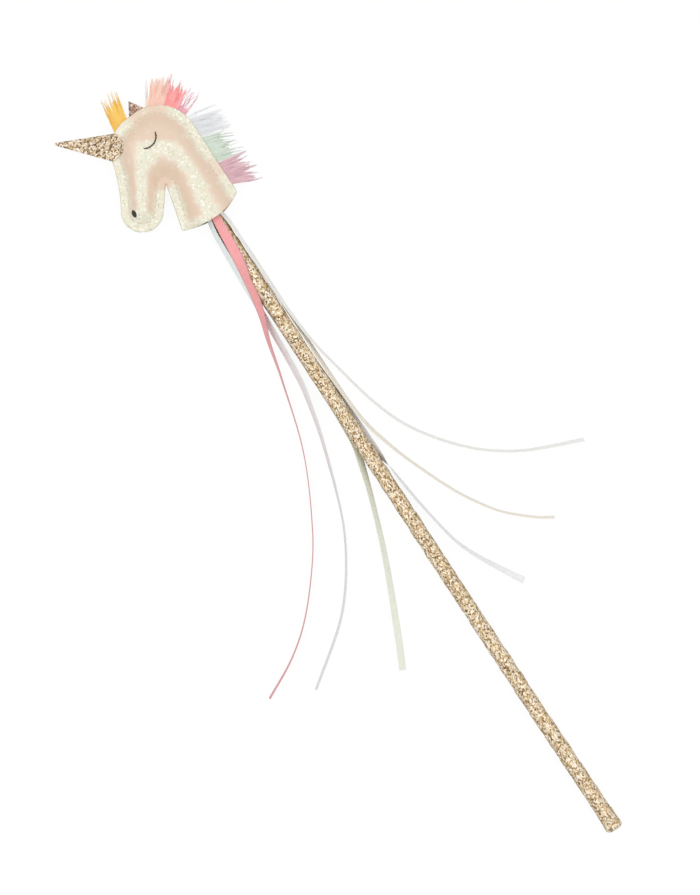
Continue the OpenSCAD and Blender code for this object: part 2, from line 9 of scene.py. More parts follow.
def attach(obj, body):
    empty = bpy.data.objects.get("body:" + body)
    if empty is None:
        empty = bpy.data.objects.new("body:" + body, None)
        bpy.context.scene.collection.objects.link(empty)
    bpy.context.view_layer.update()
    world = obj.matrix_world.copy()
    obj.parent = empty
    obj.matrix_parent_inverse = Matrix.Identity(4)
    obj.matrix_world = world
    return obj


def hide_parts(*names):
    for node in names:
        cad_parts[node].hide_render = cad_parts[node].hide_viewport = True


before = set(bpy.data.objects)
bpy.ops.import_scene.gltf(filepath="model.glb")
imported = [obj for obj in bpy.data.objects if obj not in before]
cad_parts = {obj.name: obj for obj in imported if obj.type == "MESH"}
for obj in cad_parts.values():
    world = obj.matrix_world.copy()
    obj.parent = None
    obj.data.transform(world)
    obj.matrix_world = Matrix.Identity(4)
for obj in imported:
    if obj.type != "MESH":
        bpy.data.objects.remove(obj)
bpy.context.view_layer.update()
scene = bpy.context.scene
scene.view_settings.view_transform = "Standard"

mm = 0.001
# The wand is drawn in mm with its stick along Y and the middle of the hem at the origin, then laid down.
wand = {"hemX": 8.86, "hemY": 156.483, "axisZ": 6.3, "tilt": 0.1786}
layDown = (
    Matrix.Translation((wand["hemX"] * mm, wand["hemY"] * mm, wand["axisZ"] * mm))
    @ Matrix.Rotation(math.radians(wand["tilt"]), 4, "X")
    @ Matrix.Scale(mm, 4)
)


def pick(obj):  # the only selected object, and the active one
    bpy.ops.object.select_all(action="DESELECT")
    obj.select_set(True)
    bpy.context.view_layer.objects.active = obj
    return obj


def meshPiece(name, points, faces):
    mesh = bpy.data.meshes.new(name)
    mesh.from_pydata([tuple(p) for p in points], [], faces)
    obj = bpy.data.objects.new(name, mesh)
    scene.collection.objects.link(obj)
    return pick(obj)


def applyModifier(obj, kind, settings):
    mod = obj.modifiers.new(kind.title(), kind)
    for key, value in settings.items():
        setattr(mod, key, value)
    pick(obj)
    bpy.ops.object.modifier_apply(modifier=mod.name)


def gridFaces(rows, n):  # quads between rows of n points
    return [(j * n + c, (j + 1) * n + c, (j + 1) * n + c + 1, j * n + c + 1)
            for j in range(rows - 1) for c in range(n - 1)]


def editEdges(obj, chosen):  # goes into edit mode with only the chosen edges selected
    scene.tool_settings.mesh_select_mode = (False, True, False)
    for kind in (obj.data.vertices, obj.data.edges, obj.data.polygons):
        kind.foreach_set("select", [False] * len(kind))
    for e in obj.data.edges:
        e.select = chosen(*(obj.data.vertices[i].co for i in e.vertices))
    bpy.ops.object.mode_set(mode="EDIT")


def evenNormals(obj):
    pick(obj)
    bpy.ops.object.mode_set(mode="EDIT")
    bpy.ops.mesh.select_all(action="SELECT")
    bpy.ops.mesh.normals_make_consistent(inside=False)
    bpy.ops.object.mode_set(mode="OBJECT")


def faceUp(obj):  # for an open sheet
    if sum(f.normal.z for f in obj.data.polygons) < 0:
        obj.data.flip_normals()


def turnOver(obj):  # mirrors a front piece to the back of the wand
    obj.data.transform(Matrix.Scale(-1, 4, (0, 0, 1)))
    obj.data.flip_normals()


def smoothShade(obj, angle):
    pick(obj)
    bpy.ops.object.shade_smooth_by_angle(angle=math.radians(angle))


def putDown(obj, angle):
    smoothShade(obj, angle)
    obj.data.transform(layDown)
    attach(obj, "root")


def pressOnFloor(obj):  # nothing reaches below the floor
    for v in obj.data.vertices:
        v.co.z = max(0, v.co.z)


def dress(obj, slotName, *materials):
    obj.data.materials.clear()
    for mat in materials:
        obj.data.materials.append(mat)


def mix(a, b, t):
    return a + (b - a) * t


def ease(low, high, value):  # smooth step from 0 at low to 1 at high, which may be the lower number
    t = min(1.0, max(0.0, (value - low) / (high - low)))
    return t * t * (3 - 2 * t)


def polar(center, radius, degrees):
    a = math.radians(degrees)
    return Vector((center[0] + radius * math.cos(a), center[1] + radius * math.sin(a)))


def runLengths(points):  # distance along a line at each of its points
    marks = [0.0]
    for p, q in zip(points, points[1:]):
        marks.append(marks[-1] + (q - p).length)
    return marks


# Materials

bandsPerScale = 3.1416  # bands that a wave texture of scale 1 draws per unit, about


def hexColor(code):
    parts = [int(code[i:i + 2], 16) / 255 for i in (1, 3, 5)]
    return [c / 12.92 if c <= 0.04045 else ((c + 0.055) / 1.055) ** 2.4 for c in parts] + [1.0]


def darker(code, share):
    return [c * share for c in hexColor(code)[:3]] + [1.0]


def connect(node, links):  # each link comes from an output, or from a node's first output
    for key, source in links.items():
        output = source.outputs[0] if isinstance(source, bpy.types.Node) else source
        node.id_data.links.new(output, node.inputs[key])


def addNode(tree, kind, settings=None, links=None):
    node = tree.nodes.new("ShaderNode" + kind)
    for key, value in (settings or {}).items():
        if key == "stops":
            ramp = node.color_ramp
            while len(ramp.elements) < len(value):
                ramp.elements.new(0.5)
            for element, (place, code) in zip(ramp.elements, value):
                element.position = place
                element.color = hexColor(code)
        elif isinstance(key, int) or key in node.inputs:
            node.inputs[key].default_value = value
        else:
            setattr(node, key, value)
    connect(node, links or {})
    return node


def newMaterial(name, shaderSettings):
    mat = bpy.data.materials.new(name)
    mat.use_nodes = True
    shader = mat.node_tree.nodes["Principled BSDF"]
    for key, value in shaderSettings.items():
        shader.inputs[key].default_value = value
    return mat, mat.node_tree, shader


def glitterFabric(name, flake, stops, metal, tilt, stretch=(1, 1, 1)):
    # Glitter glued on cloth: every flake lies at its own angle, so neighbours flash light or go dark. Each
    # flake's colour, drawn at random from dark brown to near white, paints these glints and dark flakes in as
    # well.
    mat, tree, shader = newMaterial(name, {"Metallic": metal, "Roughness": 0.34})
    place = addNode(tree, "TexCoord").outputs["Object"]
    fit = addNode(tree, "Mapping", {"Scale": stretch}, {"Vector": place})
    cells = addNode(tree, "TexVoronoi", {"Scale": 1 / (flake * mm)}, {"Vector": fit})
    chance = addNode(tree, "SeparateColor", links={"Color": cells.outputs["Color"]})
    # Painted glints and painted dark flakes: the random flake colour stands in for flakes that catch or miss
    # the light.
    color = addNode(tree, "ValToRGB", {"stops": stops}, {"Fac": chance.outputs["Red"]})
    middle = addNode(tree, "VectorMath", {"operation": "SUBTRACT", 1: (0.5, 0.5, 0.5)},
                     {0: cells.outputs["Color"]})
    lean = addNode(tree, "VectorMath", {"operation": "SCALE", "Scale": tilt}, {0: middle})
    facing = addNode(tree, "NewGeometry").outputs["Normal"]
    turned = addNode(tree, "VectorMath", {"operation": "ADD"}, {0: facing, 1: lean})
    unitTurned = addNode(tree, "VectorMath", {"operation": "NORMALIZE"}, {0: turned})
    bump = addNode(tree, "Bump", {"Strength": 0.5, "Distance": 0.25 * mm},
                   {"Height": cells.outputs["Distance"], "Normal": unitTurned})
    connect(shader, {"Base Color": color, "Normal": bump})
    return mat


def pearlLeatherette():
    # Calendered vinyl with a pearl flake coat: level areas sparkle green-white, slopes are plain pink-beige.
    # The green-white sparkle is a painted highlight where level areas face the light; the slopes' plain beige
    # is painted darker.
    mat, tree, shader = newMaterial("pearlGlitterLeatherette", {
        "Roughness": 0.42, "IOR": 1.5, "Coat Weight": 0.25, "Coat Roughness": 0.3})
    place = addNode(tree, "TexCoord").outputs["Object"]
    flatness = addNode(tree, "Attribute", {"attribute_name": "flatness"}).outputs["Fac"]
    # Real flakes are about 0.3 mm; they are drawn at 0.9 mm so that they show in the render.
    cells = addNode(tree, "TexVoronoi", {"Scale": 1 / (0.9 * mm)}, {"Vector": place})
    chance = addNode(tree, "SeparateColor", links={"Color": cells.outputs["Color"]})
    sparkle = addNode(tree, "ValToRGB", {"stops": [
        (0.0, "#D5CFB8"), (0.15, "#E4DFC8"), (0.45, "#EDE9D7"),
        (0.62, "#E0EACF"), (0.78, "#F2E7C9"), (0.9, "#FCFAF0")]}, {"Fac": chance.outputs["Red"]})
    plain = addNode(tree, "ValToRGB", {"stops": [
        (0.0, "#E6CCB5"), (0.55, "#EAD6C2"), (1.0, "#EFE4D0")]}, {"Fac": flatness})
    # Soft patches and single loose flakes break up the edges of the painted pearl sheen.
    soft = addNode(tree, "TexNoise", {"Scale": 1 / (5 * mm), "Detail": 3.0}, {"Vector": place})
    spread = addNode(tree, "Math", {"operation": "MULTIPLY_ADD", 1: 2.0, 2: -1.0}, {0: soft})
    patchy = addNode(tree, "Math", {"operation": "ADD"}, {0: flatness, 1: spread})
    loose = addNode(tree, "Math", {"operation": "MULTIPLY_ADD", 1: 0.6, 2: -0.3},
                    {0: chance.outputs["Blue"]})
    shown = addNode(tree, "Math", {"operation": "ADD", "use_clamp": True}, {0: patchy, 1: loose})
    share = addNode(tree, "MapRange", {
        "From Min": 0.25, "From Max": 0.9, "To Min": 0.04, "To Max": 0.9}, {"Value": shown})
    color = addNode(tree, "Mix", {"data_type": "RGBA"}, {0: share, 6: plain, 7: sparkle})
    grain = addNode(tree, "TexNoise", {"Scale": 1 / (1.2 * mm), "Detail": 4.0}, {"Vector": place})
    height = addNode(tree, "Math", {"operation": "ADD"}, {0: grain, 1: chance.outputs["Green"]})
    bump = addNode(tree, "Bump", {"Strength": 0.14, "Distance": 0.2 * mm}, {"Height": height})
    connect(shader, {"Base Color": color.outputs[2], "Normal": bump})
    return mat


def satinRibbon(name, shade, edge):
    # Polyester satin woven 6 mm wide: fine weft ribs across it and a denser woven edge on both sides.
    mat, tree, shader = newMaterial(name, {"Roughness": 0.5, "IOR": 1.5, "Sheen Weight": 0.25})
    uv = addNode(tree, "UVMap", {"uv_map": "ribbonMm"}).outputs["UV"]
    parts = addNode(tree, "SeparateXYZ", links={"Vector": uv})
    side = addNode(tree, "Math", {"operation": "ABSOLUTE"}, {0: parts.outputs["X"]})
    selvedge = addNode(tree, "MapRange", {"From Min": 2.35, "From Max": 2.75}, {"Value": side})
    # Weft ribs are about 0.3 mm apart; they are drawn 0.6 mm apart so that they show close up.
    ribs = addNode(tree, "TexWave", {
        "bands_direction": "Y", "Scale": 1 / (0.6 * bandsPerScale), "Distortion": 0.6}, {"Vector": uv})
    fleck = addNode(tree, "TexNoise", {"Scale": 0.35, "Detail": 3.0}, {"Vector": uv})
    body = addNode(tree, "Mix", {"data_type": "RGBA", 6: hexColor(shade), 7: hexColor(edge)}, {0: selvedge})
    worn = addNode(tree, "MapRange", {
        "From Min": 0.3, "From Max": 0.7, "To Min": 0.95, "To Max": 1.04}, {"Value": fleck})
    color = addNode(tree, "HueSaturation", links={"Color": body.outputs[2], "Value": worn})
    bump = addNode(tree, "Bump", {"Strength": 0.25, "Distance": 0.1 * mm}, {"Height": ribs.outputs["Fac"]})
    connect(shader, {"Base Color": color, "Normal": bump})
    return mat


def frayedRibbon(name, shade, tip):
    # Satin ribbon pulled to single threads: each keeps its dye, and the teased tips look paler.
    mat, tree, shader = newMaterial(name, {"Roughness": 0.6, "IOR": 1.5, "Sheen Weight": 0.3})
    reach = addNode(tree, "Attribute", {"attribute_name": "reach"}).outputs["Fac"]
    pale = addNode(tree, "MapRange", {"From Min": 0.55, "From Max": 1.0, "To Max": 0.85}, {"Value": reach})
    body = addNode(tree, "Mix", {"data_type": "RGBA", 6: hexColor(shade), 7: hexColor(tip)}, {0: pale})
    island = addNode(tree, "NewGeometry").outputs["Random Per Island"]
    vary = addNode(tree, "MapRange", {"To Min": 0.93, "To Max": 1.05}, {"Value": island})
    color = addNode(tree, "HueSaturation", links={"Color": body.outputs[2], "Value": vary})
    place = addNode(tree, "TexCoord").outputs["Object"]
    # Threads are about 0.15 mm; they are drawn at 0.45 mm so that the weave shows.
    weave = addNode(tree, "TexWave", {
        "bands_direction": "DIAGONAL", "Scale": 1 / (0.45 * mm * bandsPerScale), "Distortion": 1.5},
        {"Vector": place})
    bump = addNode(tree, "Bump", {"Strength": 0.3, "Distance": 0.12 * mm}, {"Height": weave.outputs["Fac"]})
    connect(shader, {"Base Color": color, "Normal": bump})
    return mat


def spunThread(name, shade, ply):
    # Twisted cotton thread: slanting plies with soft shadows between them.
    mat, tree, shader = newMaterial(name, {"Roughness": 0.75, "IOR": 1.5, "Sheen Weight": 0.2})
    place = addNode(tree, "TexCoord").outputs["Object"]
    plies = addNode(tree, "TexWave", {
        "bands_direction": "DIAGONAL", "Scale": 1 / (ply * mm * bandsPerScale), "Distortion": 1.0},
        {"Vector": place})
    color = addNode(tree, "Mix", {"data_type": "RGBA", 6: darker(shade, 0.7), 7: hexColor(shade)},
                    {0: plies.outputs["Fac"]})
    bump = addNode(tree, "Bump", {"Strength": 0.4, "Distance": 0.1 * mm}, {"Height": plies.outputs["Fac"]})
    connect(shader, {"Base Color": color.outputs[2], "Normal": bump})
    return mat


def rawEdge(name, shade):
    # Cut edge of coated cloth: the bare woven backing shows as a darker fibrous line.
    mat, tree, shader = newMaterial(name, {"Roughness": 0.85, "IOR": 1.45})
    place = addNode(tree, "TexCoord").outputs["Object"]
    fibre = addNode(tree, "TexNoise", {"Scale": 1 / (0.5 * mm), "Detail": 3.0}, {"Vector": place})
    color = addNode(tree, "Mix", {"data_type": "RGBA", 6: darker(shade, 0.6), 7: hexColor(shade)},
                    {0: fibre})
    connect(shader, {"Base Color": color.outputs[2]})
    return mat


def wadding():
    # Polyester fibre fill: matt white fluff.
    mat, tree, shader = newMaterial("polyesterWadding", {"Roughness": 0.95, "Sheen Weight": 0.4})
    place = addNode(tree, "TexCoord").outputs["Object"]
    fluff = addNode(tree, "TexNoise", {"Scale": 1 / (1.5 * mm), "Detail": 5.0}, {"Vector": place})
    color = addNode(tree, "Mix", {
        "data_type": "RGBA", 6: hexColor("#E2E0DA"), 7: hexColor("#F7F6F2")}, {0: fluff})
    bump = addNode(tree, "Bump", {"Strength": 0.8, "Distance": 0.4 * mm}, {"Height": fluff})
    connect(shader, {"Base Color": color.outputs[2], "Normal": bump})
    return mat


def turnedBeech():
    # Beech dowel, turned and sanded: straight pale grain along the stick.
    mat, tree, shader = newMaterial("turnedBeech", {"Roughness": 0.6, "IOR": 1.5})
    place = addNode(tree, "TexCoord").outputs["Object"]
    along = addNode(tree, "Mapping", {"Scale": (1, 0.06, 1)}, {"Vector": place})
    grain = addNode(tree, "TexNoise", {"Scale": 1 / (1.1 * mm), "Detail": 4.0}, {"Vector": along})
    color = addNode(tree, "Mix", {
        "data_type": "RGBA", 6: hexColor("#B98F5E"), 7: hexColor("#E0C296")}, {0: grain})
    bump = addNode(tree, "Bump", {"Strength": 0.2, "Distance": 0.1 * mm}, {"Height": grain})
    connect(shader, {"Base Color": color.outputs[2], "Normal": bump})
    return mat


# Studio

studio = {
    "center": (1.46, 10.18),  # mm on the floor, middle of the picture
    "frameHigh": 492.25,  # mm of floor from top to bottom of the picture
    "turn": -33.09,  # degrees, the wand leans to the left
    "lens": 200, "sensor": 36,
    "level": 6,  # mm above the floor where the scale is true
    "floorGap": 0.2,  # mm, keeps the lowest faces off the floor
    "lamps": (  # name, place and size in m, watts
        ("keyLamp", (-0.55, 0.75, 1.3), 0.9, 4.8),
        ("fillLamp", (0.8, -0.3, 1.2), 0.9, 4)),
}


def seenDirectly(tree):  # 1 for what the camera sees, also through clear pieces
    path = addNode(tree, "LightPath")
    return addNode(tree, "Math", {"operation": "MAXIMUM"},
                   {0: path.outputs["Is Camera Ray"], 1: path.outputs["Is Transmission Ray"]})


def addStudio(s):
    away = s["frameHigh"] * mm * s["lens"] / s["sensor"] + s["level"] * mm
    bpy.ops.object.camera_add(location=(s["center"][0] * mm, s["center"][1] * mm, away),
                              rotation=(0, 0, math.radians(s["turn"])))
    camera = bpy.context.object
    camera.data.lens = s["lens"]
    camera.data.sensor_width = s["sensor"]
    scene.camera = camera

    world = bpy.data.worlds.new("paleStudio")
    scene.world = world
    world.use_nodes = True
    tree = world.node_tree
    sky = tree.nodes["Background"]
    sky.inputs["Color"].default_value = hexColor("#FFFFFF")
    strength = addNode(tree, "MapRange", {"To Min": 0.76, "To Max": 1.0}, {"Value": seenDirectly(tree)})
    connect(sky, {"Strength": strength})

    for name, spot, size, watts in s["lamps"]:
        bpy.ops.object.light_add(type="AREA", location=spot)
        lamp = bpy.context.object
        lamp.name = name
        lamp.data.energy = watts
        lamp.data.size = size
        lamp.rotation_euler = (-Vector(spot)).to_track_quat("-Z", "Y").to_euler()

    bpy.ops.mesh.primitive_plane_add(size=12, location=(0, 0, -s["floorGap"] * mm))
    floor = bpy.context.object
    floor.name = "studioFloor"
    # Pale paper that glows white where it is seen directly, and still takes soft shadows.
    mat, tree, shader = newMaterial("palePaperFloor", {"Base Color": hexColor("#CACACA"), "Roughness": 0.9})
    share = addNode(tree, "Math", {"operation": "MULTIPLY", 1: 0.86}, {0: seenDirectly(tree)})
    glow = addNode(tree, "Emission", {"Color": hexColor("#FFFFFF"), "Strength": 1.08})
    both = addNode(tree, "MixShader", links={0: share, 1: shader, 2: glow})
    connect(tree.nodes["Material Output"], {"Surface": both})
    floor.data.materials.append(mat)
    print("studio and camera set")


addStudio(studio)

# Ribbons: six loose streamers, flat bands that run out from under the head

ribbon = {"wide": 6, "neckWide": 4.2, "thick": 0.25, "holdR": 4.225, "holdY": 2.5,
          "across": (-1, -0.5, 0, 0.5, 1), "rings": 90, "pathPoints": 40}
ribbonRoutes = {  # x, y, roll from flat and height of the lower edge, within about 2 mm of the solids' routes
    "coralRibbon": {
        "node": "ribbon_coral", "slot": "coral_ribbon", "angle": 90, "turns": 0,
        "shade": "#F6A5A6", "edge": "#CF8E90",
        "route": [
            (-0.7, -8, -4, 10.45), (-2, -24, -12, 9.55), (-3, -31, -26, 8.3), (-4.4, -38, -43, 6),
            (-6.1, -50, -43, 4.3), (-9, -61, -57, 2.8), (-12.8, -72, -70, 1.2), (-18, -93, -81, 0.1),
            (-30.5, -135, -86, 0), (-50, -174, -86, 0), (-64, -194, -86, 0), (-82, -214, -85, 0),
            (-99, -227, -84, 0), (-120, -238, -81, 0)]},
    "lilacGreyRibbon": {
        "node": "ribbon_lilac_grey", "slot": "lilac_grey_ribbon", "angle": 150, "turns": 0,
        "shade": "#F6FDFC", "edge": "#F0F7F6",
        "route": [
            (-5.4, -7, -61, 5), (-6.3, -24, -62, 2.4), (-7.2, -44, -60, 0.6), (-7.8, -64, -58, 0),
            (-10.2, -100, -60, 0), (-13, -115, -66, 0), (-18, -135, -72, 0), (-31, -174, -79, 0),
            (-41, -194, -78, 0), (-55, -214, -77, 0), (-68, -227, -77, 0), (-96, -248, -78, 0)]},
    "mintRibbon": {
        "node": "ribbon_mint", "slot": "mint_ribbon", "angle": 214, "turns": 1,
        "shade": "#F8FBEC", "edge": "#EFF4E2",
        "route": [
            (-4.4, -7, 48, 1.2), (-4.2, -14, 30, 0.4), (-3.6, -24, 14, 0), (-2, -45, 4, 0),
            (-1.6, -90, 0, 0), (-1.8, -126, 2, 0), (-2.4, -137, 18, 0), (-3.9, -147, 42, 0),
            (-6.6, -156, 52, 0), (-12, -174, 62, 0), (-24, -207, 59, 0), (-41, -246, 52, 0),
            (-50, -265, 53, 0)]},
    "lilacRibbon": {
        "node": "ribbon_lilac", "slot": "lilac_ribbon", "angle": 272, "turns": 1,
        "shade": "#FAFAFD", "edge": "#F1F1F5",
        "route": [
            (0.6, -7, -4, 1.5), (0.5, -20, -2, 1.4), (0.3, -45, 0, 0.9), (0.5, -90, 0, 0.6),
            (1.8, -124, -4, 0.8), (2.4, -137, -16, 0.6), (3.2, -150, -36, 0.3), (4.4, -160, -64, 0.1),
            (5.1, -166, -90, 0), (6, -176, -103, 0), (8.4, -195, -103, 0), (13, -220, -104, 0),
            (18.5, -234, -110, 0), (25.5, -247, -117, 0), (33, -260, -127, 0)]},
    "creamRibbon": {
        "node": "ribbon_cream", "slot": "cream_ribbon", "angle": 330, "turns": 1,
        "shade": "#FFF8EA", "edge": "#F7EEDD",
        "route": [
            (5.1, -7, -76, 1), (5.2, -18, -102, 0.5), (5.2, -30, -109, 0.2), (5.3, -80, -109, 0),
            (5.5, -112, -109, 0), (6.2, -131, -109, 0), (7.7, -142, -109, 0), (10.1, -151.5, -107, 0),
            (15.4, -168, -104, 0), (26.2, -194, -103, 0), (33.2, -207, -102, 0), (43, -221, -101, 0),
            (57, -234, -102, 0), (66, -240, -104, 0)]},
    "whiteRibbon": {
        "node": "ribbon_white", "slot": "white_ribbon", "angle": 28, "turns": 0,
        "shade": "#FEFDF9", "edge": "#F8F6F1",
        "route": [
            (4.95, -7, 68, 5.6), (5.05, -24, 74, 3.6), (5.2, -44, 75, 2.6), (5.6, -66, 75, 1.6),
            (7.6, -88, 77, 0.5), (11.5, -108, 77, 0), (16.6, -130, 76, 0), (23, -148, 75, 0),
            (30.4, -161, 76, 0), (40.2, -174, 75, 0), (53, -187, 77, 0), (72, -200, 76, 0),
            (103, -213, 70, 0)]},
}


def smoothAt(stops, marks, s):  # smooth curve through the stops, at a distance along it
    i = max(k for k in range(len(marks) - 1) if marks[k] <= s or k == 0)
    span = marks[i + 1] - marks[i]
    f = (s - marks[i]) / span
    last = len(marks) - 1

    def slope(k):
        a, b = max(0, k - 1), min(last, k + 1)
        return (stops[b] - stops[a]) / (marks[b] - marks[a]) * span

    h = f * f * (3 - 2 * f)
    return (stops[i] * (1 - h) + stops[i + 1] * h
            + slope(i) * (f * (1 - f) ** 2) - slope(i + 1) * (f * f * (1 - f)))


def standing(roll, wide):  # height of a band's middle over its lower edge
    turn = math.radians(roll)
    return wide / 2 * abs(math.sin(turn)) + ribbon["thick"] / 2 * abs(math.cos(turn))


def onFloor(p):  # ribbons are drawn level with the floor, from below the middle of the hem
    return (p.x + wand["hemX"]) * mm, (p.y + wand["hemY"]) * mm, max(0.0, p.z) * mm


def ribbonLine(r):  # the ribbon's length, and its middle, roll and width at a distance from the binding
    a = math.radians(r["angle"])
    holdZ = wand["axisZ"] + ribbon["holdY"] * math.radians(wand["tilt"]) + ribbon["holdR"] * math.sin(a)
    spine = [Vector((ribbon["holdR"] * math.cos(a), ribbon["holdY"], holdZ))]
    rolls = [90 - r["angle"] + 180 * r["turns"]]
    widths = [ribbon["neckWide"], (ribbon["neckWide"] + ribbon["wide"]) / 2]
    widths += [ribbon["wide"]] * (len(r["route"]) - 1)
    for (x, y, roll, low), wide in zip(r["route"], widths[1:]):
        spine.append(Vector((x, y, low + standing(roll, wide))))
        rolls.append(roll)
    marks = runLengths(spine)

    def bandAt(s):
        middle, roll, wide = (smoothAt(stops, marks, s) for stops in (spine, rolls, widths))
        middle.z = max(middle.z, standing(roll, wide))
        return middle, roll, wide

    return marks[-1], bandAt


def makeRibbon(name, r):
    long, bandAt = ribbonLine(r)
    look = 0.5  # mm before and behind a point, for the direction there
    points, alongMm = [], []
    for k in range(ribbon["rings"]):
        s = long * k / (ribbon["rings"] - 1)
        middle, roll, wide = bandAt(s)
        ahead = (bandAt(min(long, s + look))[0] - bandAt(max(0, s - look))[0]).normalized()
        level = ahead.cross(Vector((0, 0, 1))).normalized()
        turn = math.radians(roll)
        side = level * math.cos(turn) + level.cross(ahead) * math.sin(turn)
        face = ahead.cross(side)
        for layer in (-1, 1):
            for c in ribbon["across"]:
                points.append(onFloor(middle + side * wide / 2 * c + face * ribbon["thick"] / 2 * layer))
                alongMm.append((wide / 2 * c, s))
    n = len(ribbon["across"])
    ring = list(range(n)) + list(range(2 * n - 1, n - 1, -1))  # along one face, then back over the other
    faces = []
    for k in range(ribbon["rings"] - 1):
        low, high = 2 * n * k, 2 * n * (k + 1)
        faces += [(low + a, low + b, high + b, high + a) for a, b in zip(ring, ring[1:] + ring[:1])]
    for end in (0, 2 * n * (ribbon["rings"] - 1)):
        faces += [(end + i, end + i + 1, end + n + i + 1, end + n + i) for i in range(n - 1)]
    obj = meshPiece(name, points, faces)
    evenNormals(obj)
    uv = obj.data.uv_layers.new(name="ribbonMm")
    for loop in obj.data.loops:
        uv.data[loop.index].uv = alongMm[loop.vertex_index]
    smoothShade(obj, 60)
    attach(obj, "root")
    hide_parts(r["node"])
    dress(obj, r["slot"], satinRibbon(name + "Satin", r["shade"], r["edge"]))
    steps = ribbon["pathPoints"] - 1
    path = [onFloor(bandAt(long * k / steps)[0]) for k in range(steps + 1)]


for name, settings in ribbonRoutes.items():
    makeRibbon(name, settings)
print("ribbons laid:", len(ribbonRoutes))

# Stick: gold glitter cloth wound round the dowel in a slanting strip, folded over at the butt

stick = {
    "neckR": 4.0, "buttR": 4.45, "low": -401.4, "high": 14, "sides": 72, "cuts": (27, 27),
    "pitch": 15, "lap": 0.34, "lapFull": 0.93,  # share of a turn over which the strip thickens
    "lump": 0.22, "lumpSize": 6, "grain": 0.4, "grainFiner": 5,
    "bow": 0.7, "bowFade": 0.3, "kick": 0.5, "kickFrom": 0.75,
    "flare": 0.4, "flareRun": 18, "flareFull": 2, "tuck": 0.5, "tuckRun": 3,
}
goldStops = [
    (0.0, "#735633"), (0.18, "#A3845A"), (0.38, "#CBAD80"),
    (0.58, "#E9D2AB"), (0.78, "#FDEBCF"), (1.0, "#FFFAEC")]
goldCloth = glitterFabric("goldGlitterCloth", 0.8, goldStops, 0.3, 0.6, (1.25, 0.8, 1))


def stickShape(y, a, radius):
    turn = (y / stick["pitch"] + a / (2 * math.pi)) % 1
    full = stick["lapFull"]
    rise = turn if turn < full else full * (1 - turn) / (1 - full)
    spot = Vector((radius * math.cos(a), y, radius * math.sin(a))) / stick["lumpSize"]
    lumps = noise.noise(spot) + stick["grain"] * noise.noise(spot * stick["grainFiner"])
    return radius + stick["lap"] * (rise - 0.5) + stick["lump"] * lumps


def bowAt(y):  # the stick's slight bend to the side
    share = min(0, y) / stick["low"]
    kick = stick["kick"] * ease(stick["kickFrom"], 1, share)
    return stick["bow"] * (kick - math.sin(math.pi * share) * (1 - stick["bowFade"] * share))


def makeStick():
    bpy.ops.mesh.primitive_cylinder_add(vertices=stick["sides"], radius=1, depth=2)
    obj = pick(bpy.context.object)
    obj.name = "stickCover"
    for cuts in stick["cuts"]:
        editEdges(obj, lambda a, b: (a.xy - b.xy).length < 0.001)  # lengthwise edges
        bpy.ops.mesh.subdivide(number_cuts=cuts)
        bpy.ops.object.mode_set(mode="OBJECT")
    for v in obj.data.vertices:
        share = (v.co.z + 1) / 2
        y = mix(stick["low"], stick["high"], share)
        fromButt = y - stick["low"]
        a = math.atan2(v.co.y, v.co.x)
        flare = stick["flare"] * ease(stick["flareRun"], stick["flareFull"], fromButt)
        tuck = mix(1, stick["tuck"], ease(stick["tuckRun"], 0, fromButt))
        r = stickShape(y, a, mix(stick["buttR"], stick["neckR"], share) + flare) * tuck
        v.co = Vector((r * math.cos(a) + bowAt(y), y, -r * math.sin(a)))
    putDown(obj, 50)
    pressOnFloor(obj)
    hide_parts("stick_cover")
    dress(obj, "gold_fabric", goldCloth)


endWrap = {
    "radius": 4.95, "long": 5, "thick": 0.6, "round": 2.2, "roundSteps": 8, "sides": 72, "wallCuts": 6,
    "endRings": (0.6, 0.7, 0.8),  # insets of the folded end face
    "endY": 0.4,  # mm from the end, what lies lower belongs to the end face
    "gathers": 9, "gatherDeep": 0.22, "gatherR": (1, 3), "gatherY": (3, 0.4), "calmR": (1, 4),
    "lump": 0.12, "lumpSize": 1.6, "rim": 0.12, "rimY": (3.6, 5), "dimple": 0.25, "dimpleR": (2.2, 0),
}


def makeEndWrap():
    w = endWrap
    bpy.ops.mesh.primitive_cylinder_add(vertices=w["sides"], radius=w["radius"], depth=w["long"])
    obj = pick(bpy.context.object)
    obj.name = "stickEndWrap"
    editEdges(obj, lambda a, b: a.z < 0 and b.z < 0)  # rim of the end face
    bpy.ops.mesh.bevel(offset=w["round"], segments=w["roundSteps"])
    bpy.ops.object.mode_set(mode="OBJECT")
    for depth in w["endRings"]:
        for f in obj.data.polygons:
            f.select = f.normal.z < -0.99
        bpy.ops.object.mode_set(mode="EDIT")
        bpy.ops.mesh.select_mode(type="FACE")
        bpy.ops.mesh.inset(thickness=depth)
        bpy.ops.object.mode_set(mode="OBJECT")
    editEdges(obj, lambda a, b: abs(a.z - b.z) > 2)  # lengthwise edges of the wall
    bpy.ops.mesh.subdivide(number_cuts=w["wallCuts"])
    bpy.ops.object.mode_set(mode="OBJECT")
    for v in obj.data.vertices:
        r = math.hypot(v.co.x, v.co.y)
        a = math.atan2(v.co.y, v.co.x)
        y = v.co.z + w["long"] / 2
        pucker = math.sin(a * w["gathers"] + 2 * math.sin(a)) * w["gatherDeep"]
        pucker *= ease(*w["gatherR"], r) * ease(*w["gatherY"], y)
        soft = w["lump"] * noise.noise(Vector((v.co.x, v.co.y, y)) / w["lumpSize"])
        r += (pucker + soft) * ease(*w["calmR"], r) - w["rim"] * ease(*w["rimY"], y)
        if y < w["endY"]:
            y += pucker / 2 + w["dimple"] * ease(*w["dimpleR"], r)
        x = r * math.cos(a) + bowAt(stick["low"])
        v.co = Vector((x, stick["low"] - w["thick"] + y, -r * math.sin(a)))
    putDown(obj, 45)
    pressOnFloor(obj)
    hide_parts("stick_end_wrap")
    dress(obj, "gold_fabric", goldCloth)


